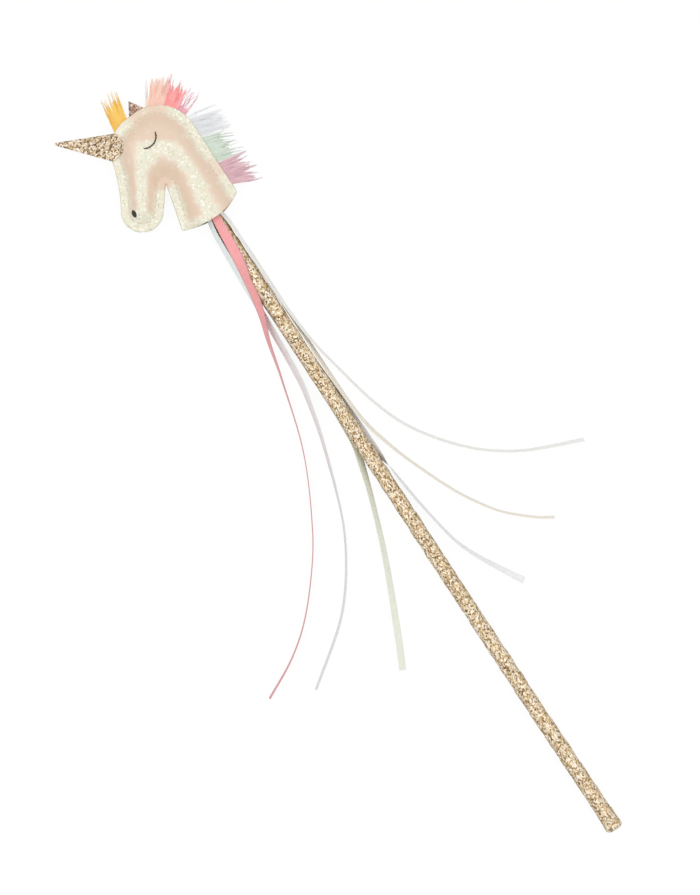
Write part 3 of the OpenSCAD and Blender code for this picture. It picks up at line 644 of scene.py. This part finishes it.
makeStick()
makeEndWrap()
dress(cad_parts["stick_core"], "wood", turnedBeech())
dress(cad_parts["ribbon_binding"], "binding_thread", spunThread("creamBindingThread", "#E9E1D0", 0.5))
print("stick wound")

# Head: two padded leatherette panels sewn together round a flat border

head = {
    "crown": ((-4.7, 50.5), 22), "brow": ((-11.7, 52), 20), "muzzle": ((-32.2, 25), 11.5),
    "notch": ((-13.2, 30.2), -0.4), "hemFront": (-19.5, 3.5), "hemBack": (17.3, 5.2), "dish": 1.4,
    "border": 4, "panel": 0.8, "seamOpen": 0.4, "backProud": 0.35, "tipGap": 8, "tipSpread": (0.6, 0.9),
    "puff": 6.5, "puffRun": 10, "ridge": 1.1, "ridgeRise": 1.5, "backPuff": 5.5,
    "muzzleRows": 12, "faceRows": 10, "browRows": 8, "crownRows": 14, "neckRows": 14, "columns": 26,
    "rim": 3, "softColumns": 5,  # points across the flat border, and across the softened step inside it
    "pressure": 3.5, "frames": 20, "cap": 0.7, "enlarge": 0.01,
}


def touchDir(one, two, side):  # outward direction of the line that touches two circles
    (c1, r1), (c2, r2) = one, two
    d = Vector(c2) - Vector(c1)
    return math.degrees(math.atan2(d.y, d.x)) + side * math.degrees(math.acos((r1 - r2) / d.length))


faceDir = touchDir(head["muzzle"], head["brow"], 1)
topDir = touchDir(head["brow"], head["crown"], 1)
jawDir = touchDir(head["muzzle"], head["notch"], -1) + 360
throatDir = touchDir(head["notch"], (head["hemFront"], 0), -1) + 360
tipDir = (faceDir + jawDir) / 2


def hemPoint(x):
    side = head["hemFront"] if x < 0 else head["hemBack"]
    return Vector((x, side[1] * (x / side[0]) ** 2))


def arc(circle, inset, start, stop, steps):
    center, radius = circle
    return [polar(center, radius - inset, mix(start, stop, k / steps)) for k in range(steps + 1)]


def upperEdge(inset):  # from the muzzle's tip over the face, brow and crown to the top of the nape
    muzzle, brow = head["muzzle"], head["brow"]
    edge = arc(muzzle, inset, tipDir - head["tipGap"], faceDir, head["muzzleRows"])
    for k in range(1, head["faceRows"]):
        t = k / head["faceRows"]
        dish = inset + head["dish"] * 4 * t * (1 - t)
        low, high = (polar(center, radius - dish, faceDir) for center, radius in (muzzle, brow))
        edge.append(low.lerp(high, t))
    edge += arc(brow, inset, faceDir, topDir, head["browRows"])
    return edge + arc(head["crown"], inset, topDir, 0, head["crownRows"])


def lowerEdge(inset):  # from the muzzle's tip along the jaw and round the notch, with as many points
    muzzle, notch = head["muzzle"], head["notch"]
    edge = arc(muzzle, inset, tipDir + head["tipGap"], jawDir, head["muzzleRows"])
    chin, cleft = (polar(center, radius - inset, jawDir) for center, radius in (muzzle, notch))
    edge += [chin.lerp(cleft, k / head["faceRows"]) for k in range(1, head["faceRows"])]
    return edge + arc(notch, inset, jawDir, throatDir, head["browRows"] + head["crownRows"] + 1)


def toChain(p, chain):  # distance from a point to a chain of straight pieces, never quite 0
    best = math.inf
    for a, b in zip(chain, chain[1:]):
        d = b - a
        t = max(0, min(1, (p - a).dot(d) / d.length_squared))
        best = min(best, (p - a - d * t).length)
    return max(0.001, best)


seamTip = polar(head["muzzle"][0], head["muzzle"][1] - head["border"], tipDir)
seamUp = [seamTip] + upperEdge(head["border"]) + [hemPoint(head["hemBack"][0] - head["border"])]
seamLow = [seamTip] + lowerEdge(head["border"]) + [hemPoint(head["hemFront"][0] + head["border"])]
edgeRound = [Vector(head["hemBack"])] + upperEdge(0)[::-1] + lowerEdge(0) + [Vector(head["hemFront"])]


def swell(p):  # height of the stuffed panel over a point inside the seam
    up, low = toChain(p, seamUp), toChain(p, seamLow)
    run = min(1, 1 / math.sqrt(1 / up ** 2 + 1 / low ** 2) / head["puffRun"])
    ridge = ease(0, 1, 1 - abs(up - low) / (up + low)) * min(1, run * head["ridgeRise"])
    return head["puff"] * (1 - (1 - run) ** 2) + head["ridge"] * ridge


# Each pair says where plain leatherette starts to take the painted pearl sheen and where it has it all over.
paintedSheenZones = {
    "ridge": (0.54, 0.12),  # share of the way from the middle out to the nearer seam
    "eyeDir": 57, "eyeLevel": (44, 39.5),  # above the eye's level the ridge stays plain
    "border": (8, 3),
    "tipAhead": (-3, 5), "tipReach": (15, 12),
    "hemHigh": (7, 2), "hemSide": (2, -5),
    "plainSpots": [((0, 70), 15, 0.85), ((-13.2, 34), 9, 0.95), ((15.3, 24), 9, 0.6)],  # middle, reach, share
}


def paintedSheenAt(p):
    # The stuffing makes a soft ridge from the muzzle over the brow to the neck. It and the border face the
    # light, so the pearl sparkle is painted there as highlight.
    zones = paintedSheenZones
    up, low = toChain(p, seamUp), toChain(p, seamLow)
    onRidge = ease(*zones["ridge"], abs(up - low) / (up + low))
    onRidge *= ease(*zones["eyeLevel"], p.dot(polar((0, 0), 1, zones["eyeDir"])))
    onBorder = ease(*zones["border"], toChain(p, edgeRound))
    for spot, reach, share in zones["plainSpots"]:
        onBorder *= 1 - share * ease(reach, reach / 2, (p - Vector(spot)).length)
    fromNose = p - Vector(head["muzzle"][0])
    onTip = ease(*zones["tipAhead"], fromNose.dot(polar((0, 0), 1, tipDir)))
    onTip *= ease(*zones["tipReach"], fromNose.length)
    onHem = ease(*zones["hemHigh"], p.y - hemPoint(p.x).y) * ease(*zones["hemSide"], p.x)
    return max(onRidge, onBorder, onTip, onHem)


def headGrid():  # rows of points from the muzzle's tip to the hem, each from the upper to the lower edge
    insets = (0, head["border"] / 2, head["border"])
    ups = [upperEdge(i) for i in insets]
    lows = [lowerEdge(i) for i in insets]
    steps = [k / head["columns"] for k in range(head["columns"] + 1)]
    center, radius = head["muzzle"]
    n = head["columns"] + 5
    rows = []
    for share in (0.0, 0.5):  # across the muzzle's tip, from the edge in to the seam
        spread = head["tipGap"] * mix(*head["tipSpread"], share)
        row = []
        for c in range(n):
            t = c / (n - 1)
            inset = head["border"] * share * math.sin(math.pi * t) ** 0.5
            row.append(polar(center, radius - inset, tipDir + spread * (2 * t - 1)))
        rows.append(row)
    for j in range(len(ups[0])):
        dome = [ups[2][j].lerp(lows[2][j], t) for t in steps]
        rows.append([ups[0][j], ups[1][j]] + dome + [lows[1][j], lows[0][j]])
    back = [head["hemBack"][0] - i for i in insets]
    front = [head["hemFront"][0] + i for i in insets]
    hemX = back[:2] + [mix(back[2], front[2], t) for t in steps] + [front[1], front[0]]
    top = rows[-1]
    for k in range(1, head["neckRows"] + 1):
        rows.append([a.lerp(hemPoint(x), k / head["neckRows"]) for a, x in zip(top, hemX)])
    return rows


def inflate(obj, pinned, s):
    # The sewn border is pinned and pressure fills the panel; the sim runs enlarged, at cushion size.
    obj.data.transform(Matrix.Scale(s["enlarge"], 4))
    before = [v.co.copy() for v in obj.data.vertices]
    group = obj.vertex_groups.new(name="sewn")
    group.add(pinned, 1.0, "REPLACE")
    cloth = obj.modifiers.new("Inflate", "CLOTH")
    cloth.settings.vertex_group_mass = "sewn"
    cloth.settings.use_pressure = True
    cloth.settings.uniform_pressure_force = s["pressure"]
    cloth.settings.effector_weights.gravity = 0
    cloth.collision_settings.use_collision = False
    cloth.point_cache.frame_end = s["frames"]
    for f in range(1, s["frames"] + 1):
        scene.frame_set(f)
    pick(obj)
    bpy.ops.object.modifier_apply(modifier=cloth.name)
    scene.frame_set(1)
    cap = s["cap"] * s["enlarge"]  # how far the pressure may move a point
    for v, start in zip(obj.data.vertices, before):
        move = v.co - start
        v.co = start + move * min(1, cap / max(move.length, 1e-9))
    obj.vertex_groups.clear()
    obj.data.transform(Matrix.Scale(1 / s["enlarge"], 4))


def makeHeadPanel(name, front):
    grid = headGrid()
    n = len(grid[0])
    rim = head["rim"]
    browStart = head["muzzleRows"] + head["faceRows"] + 2
    points, pinned = [], []
    for j, row in enumerate(grid):
        for c, p in enumerate(row):
            border = min(j, c, n - 1 - c) < rim
            if not front and c in (0, n - 1):
                p = p + (p - row[1 if c == 0 else n - 2]).normalized() * head["backProud"]
            parted = head["seamOpen"] if j >= browStart and c < rim else 0  # room for the mane and ear
            points.append(Vector((p.x, p.y, head["panel"] + (parted if border else swell(p)))))
            if border or j == len(grid) - 1:
                pinned.append(j * n + c)
    obj = meshPiece(name, points, gridFaces(len(grid), n))
    evenNormals(obj)
    faceUp(obj)
    inflate(obj, pinned, head)
    crease = obj.vertex_groups.new(name="crease")
    crease.add([j * n + c for j in range(rim, len(grid)) for c in range(n)
                if 1 <= min(c, n - 1 - c) <= head["softColumns"]], 1.0, "REPLACE")
    applyModifier(obj, "SMOOTH", {
        "vertex_group": "crease", "factor": 0.5, "iterations": 5, "use_x": False, "use_y": False})
    obj.vertex_groups.clear()
    applyModifier(obj, "SUBSURF", {"levels": 1, "render_levels": 1})
    # Painted highlight: how much pearl sparkle is painted in, 0 on the slopes, 1 on the ridge, border, muzzle
    # tip and hem.
    paintedSheenShare = obj.data.attributes.new("flatness", "FLOAT", "POINT")
    paintedSheenShare.data.foreach_set("value", [paintedSheenAt(v.co.xy) for v in obj.data.vertices])
    applyModifier(obj, "SOLIDIFY", {
        "thickness": head["panel"], "offset": -1, "material_offset": 1, "material_offset_rim": 1})
    # The bevel faces round the panel take the raw-edge colour: a dark outline that is partly the real cut
    # edge and partly painted edge shade.
    applyModifier(obj, "BEVEL", {
        "width": 0.25, "segments": 1, "limit_method": "ANGLE", "material": 1,
        "angle_limit": math.radians(60), "use_clamp_overlap": False})
    if not front:
        for v in obj.data.vertices:
            v.co.z = min(v.co.z, head["backPuff"] + head["panel"])  # pressed flat where it lies
        turnOver(obj)
    return obj


pearl = pearlLeatherette()
rawEdgeAndOutlineShade = rawEdge("leatheretteRawEdgeAndOutlineShade", "#A8977F")
headFront = makeHeadPanel("headFront", True)
headBack = makeHeadPanel("headBack", False)
faceTree = BVHTree.FromPolygons([v.co.copy() for v in headFront.data.vertices],
                                [list(f.vertices) for f in headFront.data.polygons])
for panel, node in ((headFront, "head_front_panel"), (headBack, "head_back_panel")):
    putDown(panel, 50)
    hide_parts(node)
    dress(panel, "pearl_leatherette", pearl, rawEdgeAndOutlineShade)
print("head padded")


def onFace(x, y):  # the face's surface, looked up from 50 mm above it
    spot = faceTree.ray_cast(Vector((x, y, 50)), Vector((0, 0, -1)))[0]
    return spot if spot else Vector((x, y, head["panel"]))


def threadPiece(name, lines, radius, resolution=2):  # each point of a line may have a fourth value, its width
    curve = bpy.data.curves.new(name, "CURVE")
    curve.dimensions = "3D"
    curve.bevel_depth = radius
    curve.bevel_resolution = resolution
    curve.use_fill_caps = True
    for line in lines:
        spline = curve.splines.new("POLY")
        spline.points.add(len(line) - 1)
        for point, p in zip(spline.points, line):
            point.co = (p[0], p[1], p[2], 1)
            point.radius = p[3] if len(p) > 3 else 1
    obj = bpy.data.objects.new(name, curve)
    scene.collection.objects.link(obj)
    pick(obj)
    bpy.ops.object.convert(target="MESH")
    return bpy.context.object


# Head wadding: what the open hem shows of the stuffing

waddingPlug = {
    "low": 9, "high": 60, "wide": (9.45, 11.7), "middleX": -1.5, "sideX": 11, "blunt": 0.35,
    "reach": 0.86, "hemY": 8, "gap": 0.6, "backGap": 0.8, "least": 0.6, "fullness": 1.5,
    "fluff": 1.2, "fluffSize": 2.5, "segments": 40, "rings": 28,
}


def makeWadding():
    w = waddingPlug
    bpy.ops.mesh.primitive_uv_sphere_add(segments=w["segments"], ring_count=w["rings"], radius=1)
    obj = pick(bpy.context.object)
    obj.name = "headWadding"
    for v in obj.data.vertices:
        share = (v.co.y + 1) / 2
        y = mix(w["low"], w["high"], share)
        girth = max(w["blunt"], math.sqrt(max(0, 1 - v.co.y ** 2)))
        x = w["middleX"] + v.co.x * mix(*w["wide"], share) / girth
        x = max(-w["sideX"], min(w["sideX"], x))
        inside = w["reach"] * swell(Vector((x, max(y, w["hemY"])))) - w["gap"]
        high = max(w["least"], min(inside, head["backPuff"] - w["backGap"]))
        z = max(-1, min(1, v.co.z * w["fullness"])) * high
        y += w["fluff"] * noise.noise(Vector((x, z, 3)) / w["fluffSize"]) * (1 - share)
        v.co = Vector((x, y, z))
    putDown(obj, 80)
    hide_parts("head_stuffing")
    dress(obj, "stuffing", wadding())


makeWadding()

# Stitching: the seam round the front panel, the closed eye and the nostril

seamStitch = {"long": 2.1, "step": 3.0, "start": 1.0, "radius": 0.13, "inset": 4.3,
              "arch": (-0.25, 0.05, 0.1, 0.05, -0.25), "napeY": (8, 50, 3), "throatY": 5, "throatSteps": 8}
seamThread = spunThread("pinkBeigeSewingThread", "#EBDCCB", 0.4)


def makeSeam():
    inset = seamStitch["inset"]
    line = [Vector((head["hemBack"][0] - inset, y)) for y in range(*seamStitch["napeY"])]
    line += upperEdge(inset)[:1:-1] + lowerEdge(inset)[2:]
    steps = seamStitch["throatSteps"]
    throatEnd = Vector((head["hemFront"][0] + inset, seamStitch["throatY"]))
    line += [line[-1].lerp(throatEnd, k / steps) for k in range(1, steps)]
    marks = runLengths(line)

    def at(s):
        i = max(k for k in range(len(marks) - 1) if marks[k] <= s)
        return line[i].lerp(line[i + 1], (s - marks[i]) / max(1e-6, marks[i + 1] - marks[i]))

    stitches = []
    s = seamStitch["start"]
    while s + seamStitch["long"] < marks[-1]:
        row = []
        for k, dip in enumerate(seamStitch["arch"]):
            p = at(s + seamStitch["long"] * k / (len(seamStitch["arch"]) - 1))
            row.append((p.x, p.y, onFace(p.x, p.y).z + dip))
        stitches.append(row)
        s += seamStitch["step"]
    obj = threadPiece("headSeamFront", stitches, seamStitch["radius"], 1)
    putDown(obj, 80)
    dress(obj, "pearl_leatherette", seamThread)


eye = {"center": (-9, 58.2), "radius": 6.6, "from": 236, "to": 351, "points": 60,
       "ply": 0.27, "twist": 3.2, "apart": 0.7, "rise": 0.6, "lift": 0.16, "tipThin": 0.45, "tipRun": 0.12}


def makeEye():
    e = eye
    plies = []
    for phase in (0, math.pi):
        row = []
        for k in range(e["points"] + 1):
            t = k / e["points"]
            p = polar(e["center"], e["radius"], mix(e["from"], e["to"], t))
            out = (p - Vector(e["center"])).normalized()
            a = phase + 2 * math.pi * t * e["radius"] * 2 / e["twist"]
            p = p + out * math.cos(a) * e["ply"] * e["apart"]
            z = onFace(p.x, p.y).z + e["lift"] + math.sin(a) * e["ply"] * e["rise"]
            row.append((p.x, p.y, z, mix(e["tipThin"], 1, ease(0, e["tipRun"], min(t, 1 - t)))))
        plies.append(row)
    obj = threadPiece("eyeStitch", plies, e["ply"])
    putDown(obj, 80)
    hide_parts("eye_stitch")
    dress(obj, "dark_thread", spunThread("darkBrownThread", "#4A3A33", 0.6))


nostril = {"middle": (-36.6, 25.9), "wide": 2.2, "long": 4.0, "lean": 8, "threads": 9, "radius": 0.3,
           "fill": 0.92, "arch": ((-1, -0.2), (-0.6, 0.16), (0, 0.3), (0.6, 0.16), (1, -0.2))}


def makeNostril():
    n = nostril
    lean = math.radians(n["lean"])
    along = Vector((math.sin(lean), math.cos(lean)))
    beside = Vector((math.cos(lean), -math.sin(lean)))
    rows = []
    for k in range(n["threads"]):
        t = mix(-n["fill"], n["fill"], k / (n["threads"] - 1))
        half = n["wide"] / 2 * math.sqrt(1 - t * t)
        row = []
        for c, dip in n["arch"]:
            p = Vector(n["middle"]) + along * n["long"] / 2 * t + beside * half * c
            row.append((p.x, p.y, onFace(p.x, p.y).z + dip))
        rows.append(row)
    obj = threadPiece("nostrilStitch", rows, n["radius"])
    putDown(obj, 80)
    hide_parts("nostril_stitch")
    dress(obj, "dark_thread", spunThread("blackBrownThread", "#3A3028", 0.5))


makeSeam()
makeEye()
makeNostril()
print("face stitched")

# Horn: a flat padded cone of coarse gold glitter, its round base lapped onto the brow

horn = {
    "long": 30.8, "wide": 15.5, "tip": 0.6, "lap": 7.2, "bow": 5.2, "angle": 143.5, "thick": 0.7, "puff": 1.9,
    "rows": 44, "columns": 22, "rough": 0.16, "roughSize": 0.9, "overlap": 1.5, "seat": 0.12,
}
hornStops = [
    (0.0, "#60482F"), (0.2, "#967752"), (0.42, "#C1A27C"),
    (0.62, "#DEC6A2"), (0.8, "#F6E4CA"), (1.0, "#FFF8EC")]
hornGlitter = glitterFabric("chunkyGoldGlitter", 0.8, hornStops, 0.3, 0.7)
hornEdge = rawEdge("glitterRawEdge", "#7D6B55")


def hornPoint(s, w):  # s runs from the base to the tip, w from one side to the other
    center, radius = head["brow"]
    a = math.radians(horn["angle"])
    axis, side = Vector((math.cos(a), math.sin(a))), Vector((-math.sin(a), math.cos(a)))
    out = mix(radius - horn["lap"] + horn["bow"], radius + horn["long"], s)
    out -= horn["bow"] * (1 - w * w) * (1 - s) ** 4
    return Vector(center) + axis * out + side * mix(horn["wide"] / 2, horn["tip"], s) * w


def makeHorn(name, front):
    center, radius = head["brow"]
    points = []
    for j in range(horn["rows"] + 1):
        for k in range(horn["columns"] + 1):
            s, w = j / horn["rows"], 1 - 2 * k / horn["columns"]
            p = hornPoint(s, w)
            z = horn["puff"] * (1 - w * w) * (1 - s)
            if (p - Vector(center)).length < radius + horn["overlap"]:
                z = max(z, onFace(p.x, p.y).z + horn["seat"])
            rough = horn["rough"] * noise.noise(Vector((p.x, p.y, 2 if front else 9)) / horn["roughSize"])
            points.append(Vector((p.x, p.y, z + horn["thick"] + rough)))
    obj = meshPiece(name, points, gridFaces(horn["rows"] + 1, horn["columns"] + 1))
    faceUp(obj)
    applyModifier(obj, "SOLIDIFY", {"thickness": horn["thick"], "offset": -1, "material_offset_rim": 1})
    if not front:
        turnOver(obj)
    putDown(obj, 60)
    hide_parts(*(("horn_front_panel", "horn_stuffing") if front else ("horn_back_panel",)))
    dress(obj, "gold_glitter", hornGlitter, hornEdge)


makeHorn("hornFront", True)
makeHorn("hornBack", False)
print("horn lapped on")

# Ear and mane, sewn into the seam along the brow, crown and nape

crownRun = head["crown"][1] * math.radians(topDir)
topRun = (polar(*head["brow"], topDir) - polar(*head["crown"], topDir)).length


def edgeDir(d):  # outward direction at a distance along the edge, measured up from the top of the nape
    if d < 0:
        return 0
    if d < crownRun:
        return math.degrees(d / head["crown"][1])
    if d < crownRun + topRun:
        return topDir
    return topDir + math.degrees((d - crownRun - topRun) / head["brow"][1])


def edgePoint(d):
    if d < 0:
        return Vector((head["hemBack"][0], head["crown"][0][1] + d))
    if d < crownRun:
        return polar(*head["crown"], edgeDir(d))
    if d < crownRun + topRun:
        a = math.radians(topDir)
        return polar(*head["crown"], topDir) + (d - crownRun) * Vector((-math.sin(a), math.cos(a)))
    return polar(*head["brow"], edgeDir(d))


ear = {"at": 35.2, "wide": 9.2, "high": 7.2, "deep": 3.2, "thick": 0.6, "columns": 14, "rows": 16,
       "tip": 0.05, "curl": 0.5, "curlSide": 4, "curlRun": 5, "rough": 0.08}
roseStops = [(0.0, "#5E4436"), (0.3, "#8A6654"), (0.55, "#A8836F"), (0.8, "#C6A692"), (1.0, "#EFD9C8")]


def makeEar():
    e = ear
    bpy.ops.mesh.primitive_grid_add(x_subdivisions=e["columns"], y_subdivisions=e["rows"], size=2)
    obj = pick(bpy.context.object)
    obj.name = "ear"
    turn = math.radians(edgeDir(e["at"]) - 90)
    base = edgePoint(e["at"])
    for v in obj.data.vertices:
        t = mix(-e["deep"], e["high"], (v.co.y + 1) / 2)
        x = v.co.x * e["wide"] / 2 * (1 if t < 0 else max(e["tip"], 1 - t / e["high"]))
        z = e["thick"] / 2 + e["curl"] * (x / e["curlSide"]) ** 2 * ease(0, e["curlRun"], t)
        z += e["rough"] * noise.noise(Vector((x, t, 5)))
        v.co = Vector((base.x + x * math.cos(turn) - t * math.sin(turn),
                       base.y + x * math.sin(turn) + t * math.cos(turn), z))
    faceUp(obj)
    applyModifier(obj, "SOLIDIFY", {"thickness": e["thick"], "offset": -1, "material_offset_rim": 1})
    putDown(obj, 50)
    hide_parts("ear")
    dress(obj, "rose_glitter", glitterFabric("roseGlitter", 0.9, roseStops, 0.25, 0.7), hornEdge)


# Place along the edge, width and length in mm, more length toward the brow (skew), angles (lean, spread),
# woven share (solid), threads drawn to their lock (join) or missing (thin), share with bare threads (loose),
# curl in mm and threads in a lock.
mane = {
    "foreLock": {
        "node": "forelock_yellow", "slot": "yellow_ribbon", "shade": "#F9CC66", "tip": "#F7E2AE",
        "at": 46.6, "wide": 10.4, "long": 20.2, "skew": 0, "lean": -27, "spread": -22,
        "solid": 0.66, "join": 0.6, "thin": 0.15, "loose": 0, "curl": 0.1, "lock": 3},
    "maneBlush": {
        "node": "mane_blush", "slot": "blush_ribbon", "shade": "#F9CFBE", "tip": "#F8E6DC",
        "at": 24.2, "wide": 10.4, "long": 17.2, "skew": 0, "lean": -13.5, "spread": -15,
        "solid": 0.9, "join": 0.6, "thin": 0.2, "loose": 0.24, "curl": 0.1, "lock": 5},
    "maneCoral": {
        "node": "mane_coral", "slot": "coral_ribbon", "shade": "#FAA5A4", "tip": "#F6B9BE",
        "at": 15.2, "wide": 7.6, "long": 18.8, "skew": 0, "lean": -4, "spread": -6,
        "solid": 0.62, "join": 0.7, "thin": 0.2, "loose": 0, "curl": 0.15, "lock": 3},
    "maneRose": {
        "node": "mane_rose", "slot": "rose_ribbon", "shade": "#EDAEBA", "tip": "#EFC4CE",
        "at": 8.6, "wide": 5.4, "long": 17.4, "skew": 0.1, "lean": 0, "spread": 8,
        "solid": 0.2, "join": 0.35, "thin": 0.45, "loose": 0, "curl": 0.45, "lock": 2},
    "maneLilac": {
        "node": "mane_lilac", "slot": "lilac_grey_ribbon", "shade": "#DFE0E2", "tip": "#F1F1F4",
        "at": -2.1, "wide": 13, "long": 18.8, "skew": 0, "lean": -13.5, "spread": 3,
        "solid": 0.98, "join": 0.5, "thin": 0.3, "loose": 0.28, "curl": 0.25, "lock": 5},
    "maneMint": {
        "node": "mane_mint", "slot": "mint_mane", "shade": "#D0DCCE", "tip": "#EDF3ED",
        "at": -17.2, "wide": 16.4, "long": 19, "skew": 0, "lean": -15, "spread": -2,
        "solid": 0.56, "join": 0.75, "thin": 0.4, "loose": 0.1, "curl": 0.6, "lock": 4},
    "maneMauve": {
        "node": "mane_mauve", "slot": "mauve_ribbon", "shade": "#DBB6BD", "tip": "#E8CAD3",
        "at": -33, "wide": 14, "long": 19, "skew": -0.1, "lean": -16, "spread": 18,
        "solid": 0.7, "join": 0.7, "thin": 0.2, "loose": 0, "curl": 0.3, "lock": 4},
}
fray = {
    "pitch": 0.42, "radius": 0.2, "points": 10, "root": 0.04, "lift": 0.12, "tipThin": 0.45, "firstSeed": 3,
    "vary": 0.26, "ownVary": 0.1, "sway": 0.9, "ownSway": 0.4, "wave": 1.1,
    "deep": 3.2, "thick": 0.35, "rows": 14, "notch": 0.3, "ragged": 0.16, "looseCut": 0.3, "ripple": 0.35,
}


def tuftPoint(m, t, reach):
    d = m["at"] + m["wide"] * (t - 0.5)
    return polar(edgePoint(d), reach, edgeDir(d) + m["lean"] + m["spread"] * (t - 0.5))


def tuftCloth(m, seed, count):  # what is still woven of the ribbon end
    bpy.ops.mesh.primitive_grid_add(x_subdivisions=count * 2, y_subdivisions=fray["rows"], size=2)
    cloth = pick(bpy.context.object)
    for v in cloth.data.vertices:
        t, u = (v.co.x + 1) / 2, (v.co.y + 1) / 2
        between = abs(2 * (t * count / m["lock"] % 1) - 1)  # 1 between two locks, 0 in the middle of one
        ragged = 1 + m["skew"] * (t - 0.5) - fray["notch"] * between ** 2
        ragged += fray["ragged"] * noise.noise(Vector((t * 9, seed, 0)))
        ragged *= mix(1, fray["looseCut"], ease(1 - m["loose"], 1.01 - m["loose"] * 0.6, t))
        p = tuftPoint(m, t, mix(-fray["deep"], m["long"] * m["solid"] * ragged, u))
        wave = fray["ripple"] * noise.noise(Vector((t * 4, u * 3, seed))) * ease(0.2, 1, u)
        v.co = Vector((p.x, p.y, wave + fray["thick"] / 2))
    faceUp(cloth)
    applyModifier(cloth, "SOLIDIFY", {"thickness": fray["thick"], "offset": -1})
    return cloth


def makeTuft(name, m, seed):
    rng = random.Random(seed)
    count = int(m["wide"] / fray["pitch"])
    locks = [(rng.uniform(-1, 1), rng.random()) for i in range(0, count, m["lock"])]  # bend, shortening
    cloth = tuftCloth(m, seed, count)
    threads = []
    for i in range(count):
        t = (i + 0.5) / count
        lock = i // m["lock"]
        middle = (lock + 0.5) * m["lock"] / count
        bend, short = locks[lock]
        bend += rng.uniform(-fray["ownSway"], fray["ownSway"])
        long = m["long"] * (1 - fray["vary"] * short - fray["ownVary"] * rng.random())
        long *= 1 + m["skew"] * (t - 0.5)
        rise, phase = rng.uniform(-1, 1), rng.uniform(0, 6)
        if rng.random() < m["thin"]:
            continue
        row = []
        for k in range(fray["points"]):
            u = k / (fray["points"] - 1)
            aside = bend * fray["sway"] * u * u + m["curl"] * u * math.sin(u * 7 + bend * 4)
            across = mix(t, middle, m["join"] * u * u) + aside / m["wide"]
            p = tuftPoint(m, across, mix(fray["root"], 1, u) * long)
            z = fray["wave"] * (rise * u * u + 0.25 * math.sin(u * 5 + phase)) * ease(0, 0.5, u)
            row.append((p.x, p.y, z + fray["lift"], mix(1, fray["tipThin"], ease(0.6, 1, u))))
        threads.append(row)
    obj = threadPiece(name, threads, fray["radius"], 0)
    cloth.select_set(True)
    bpy.ops.object.join()
    base = edgePoint(m["at"])
    way = (tuftPoint(m, 0.5, 1) - base).normalized()
    side = Vector((-way.y, way.x)) / m["wide"]

    def reachOf(spot):  # share of the length, and 1 on the bare threads at the loose side
        bare = ease(0.5 - m["loose"], 0.51 - m["loose"] * 0.4, (spot - base).dot(side))
        return max((spot - base).dot(way) / m["long"], bare)

    reach = obj.data.attributes.new("reach", "FLOAT", "POINT")
    reach.data.foreach_set("value", [reachOf(v.co.xy) for v in obj.data.vertices])
    putDown(obj, 60)
    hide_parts(m["node"])
    dress(obj, m["slot"], frayedRibbon(name + "Satin", m["shade"], m["tip"]))


makeEar()
for seed, (name, settings) in enumerate(mane.items(), fray["firstSeed"]):
    makeTuft(name, settings, seed)
print("ear and mane sewn in")
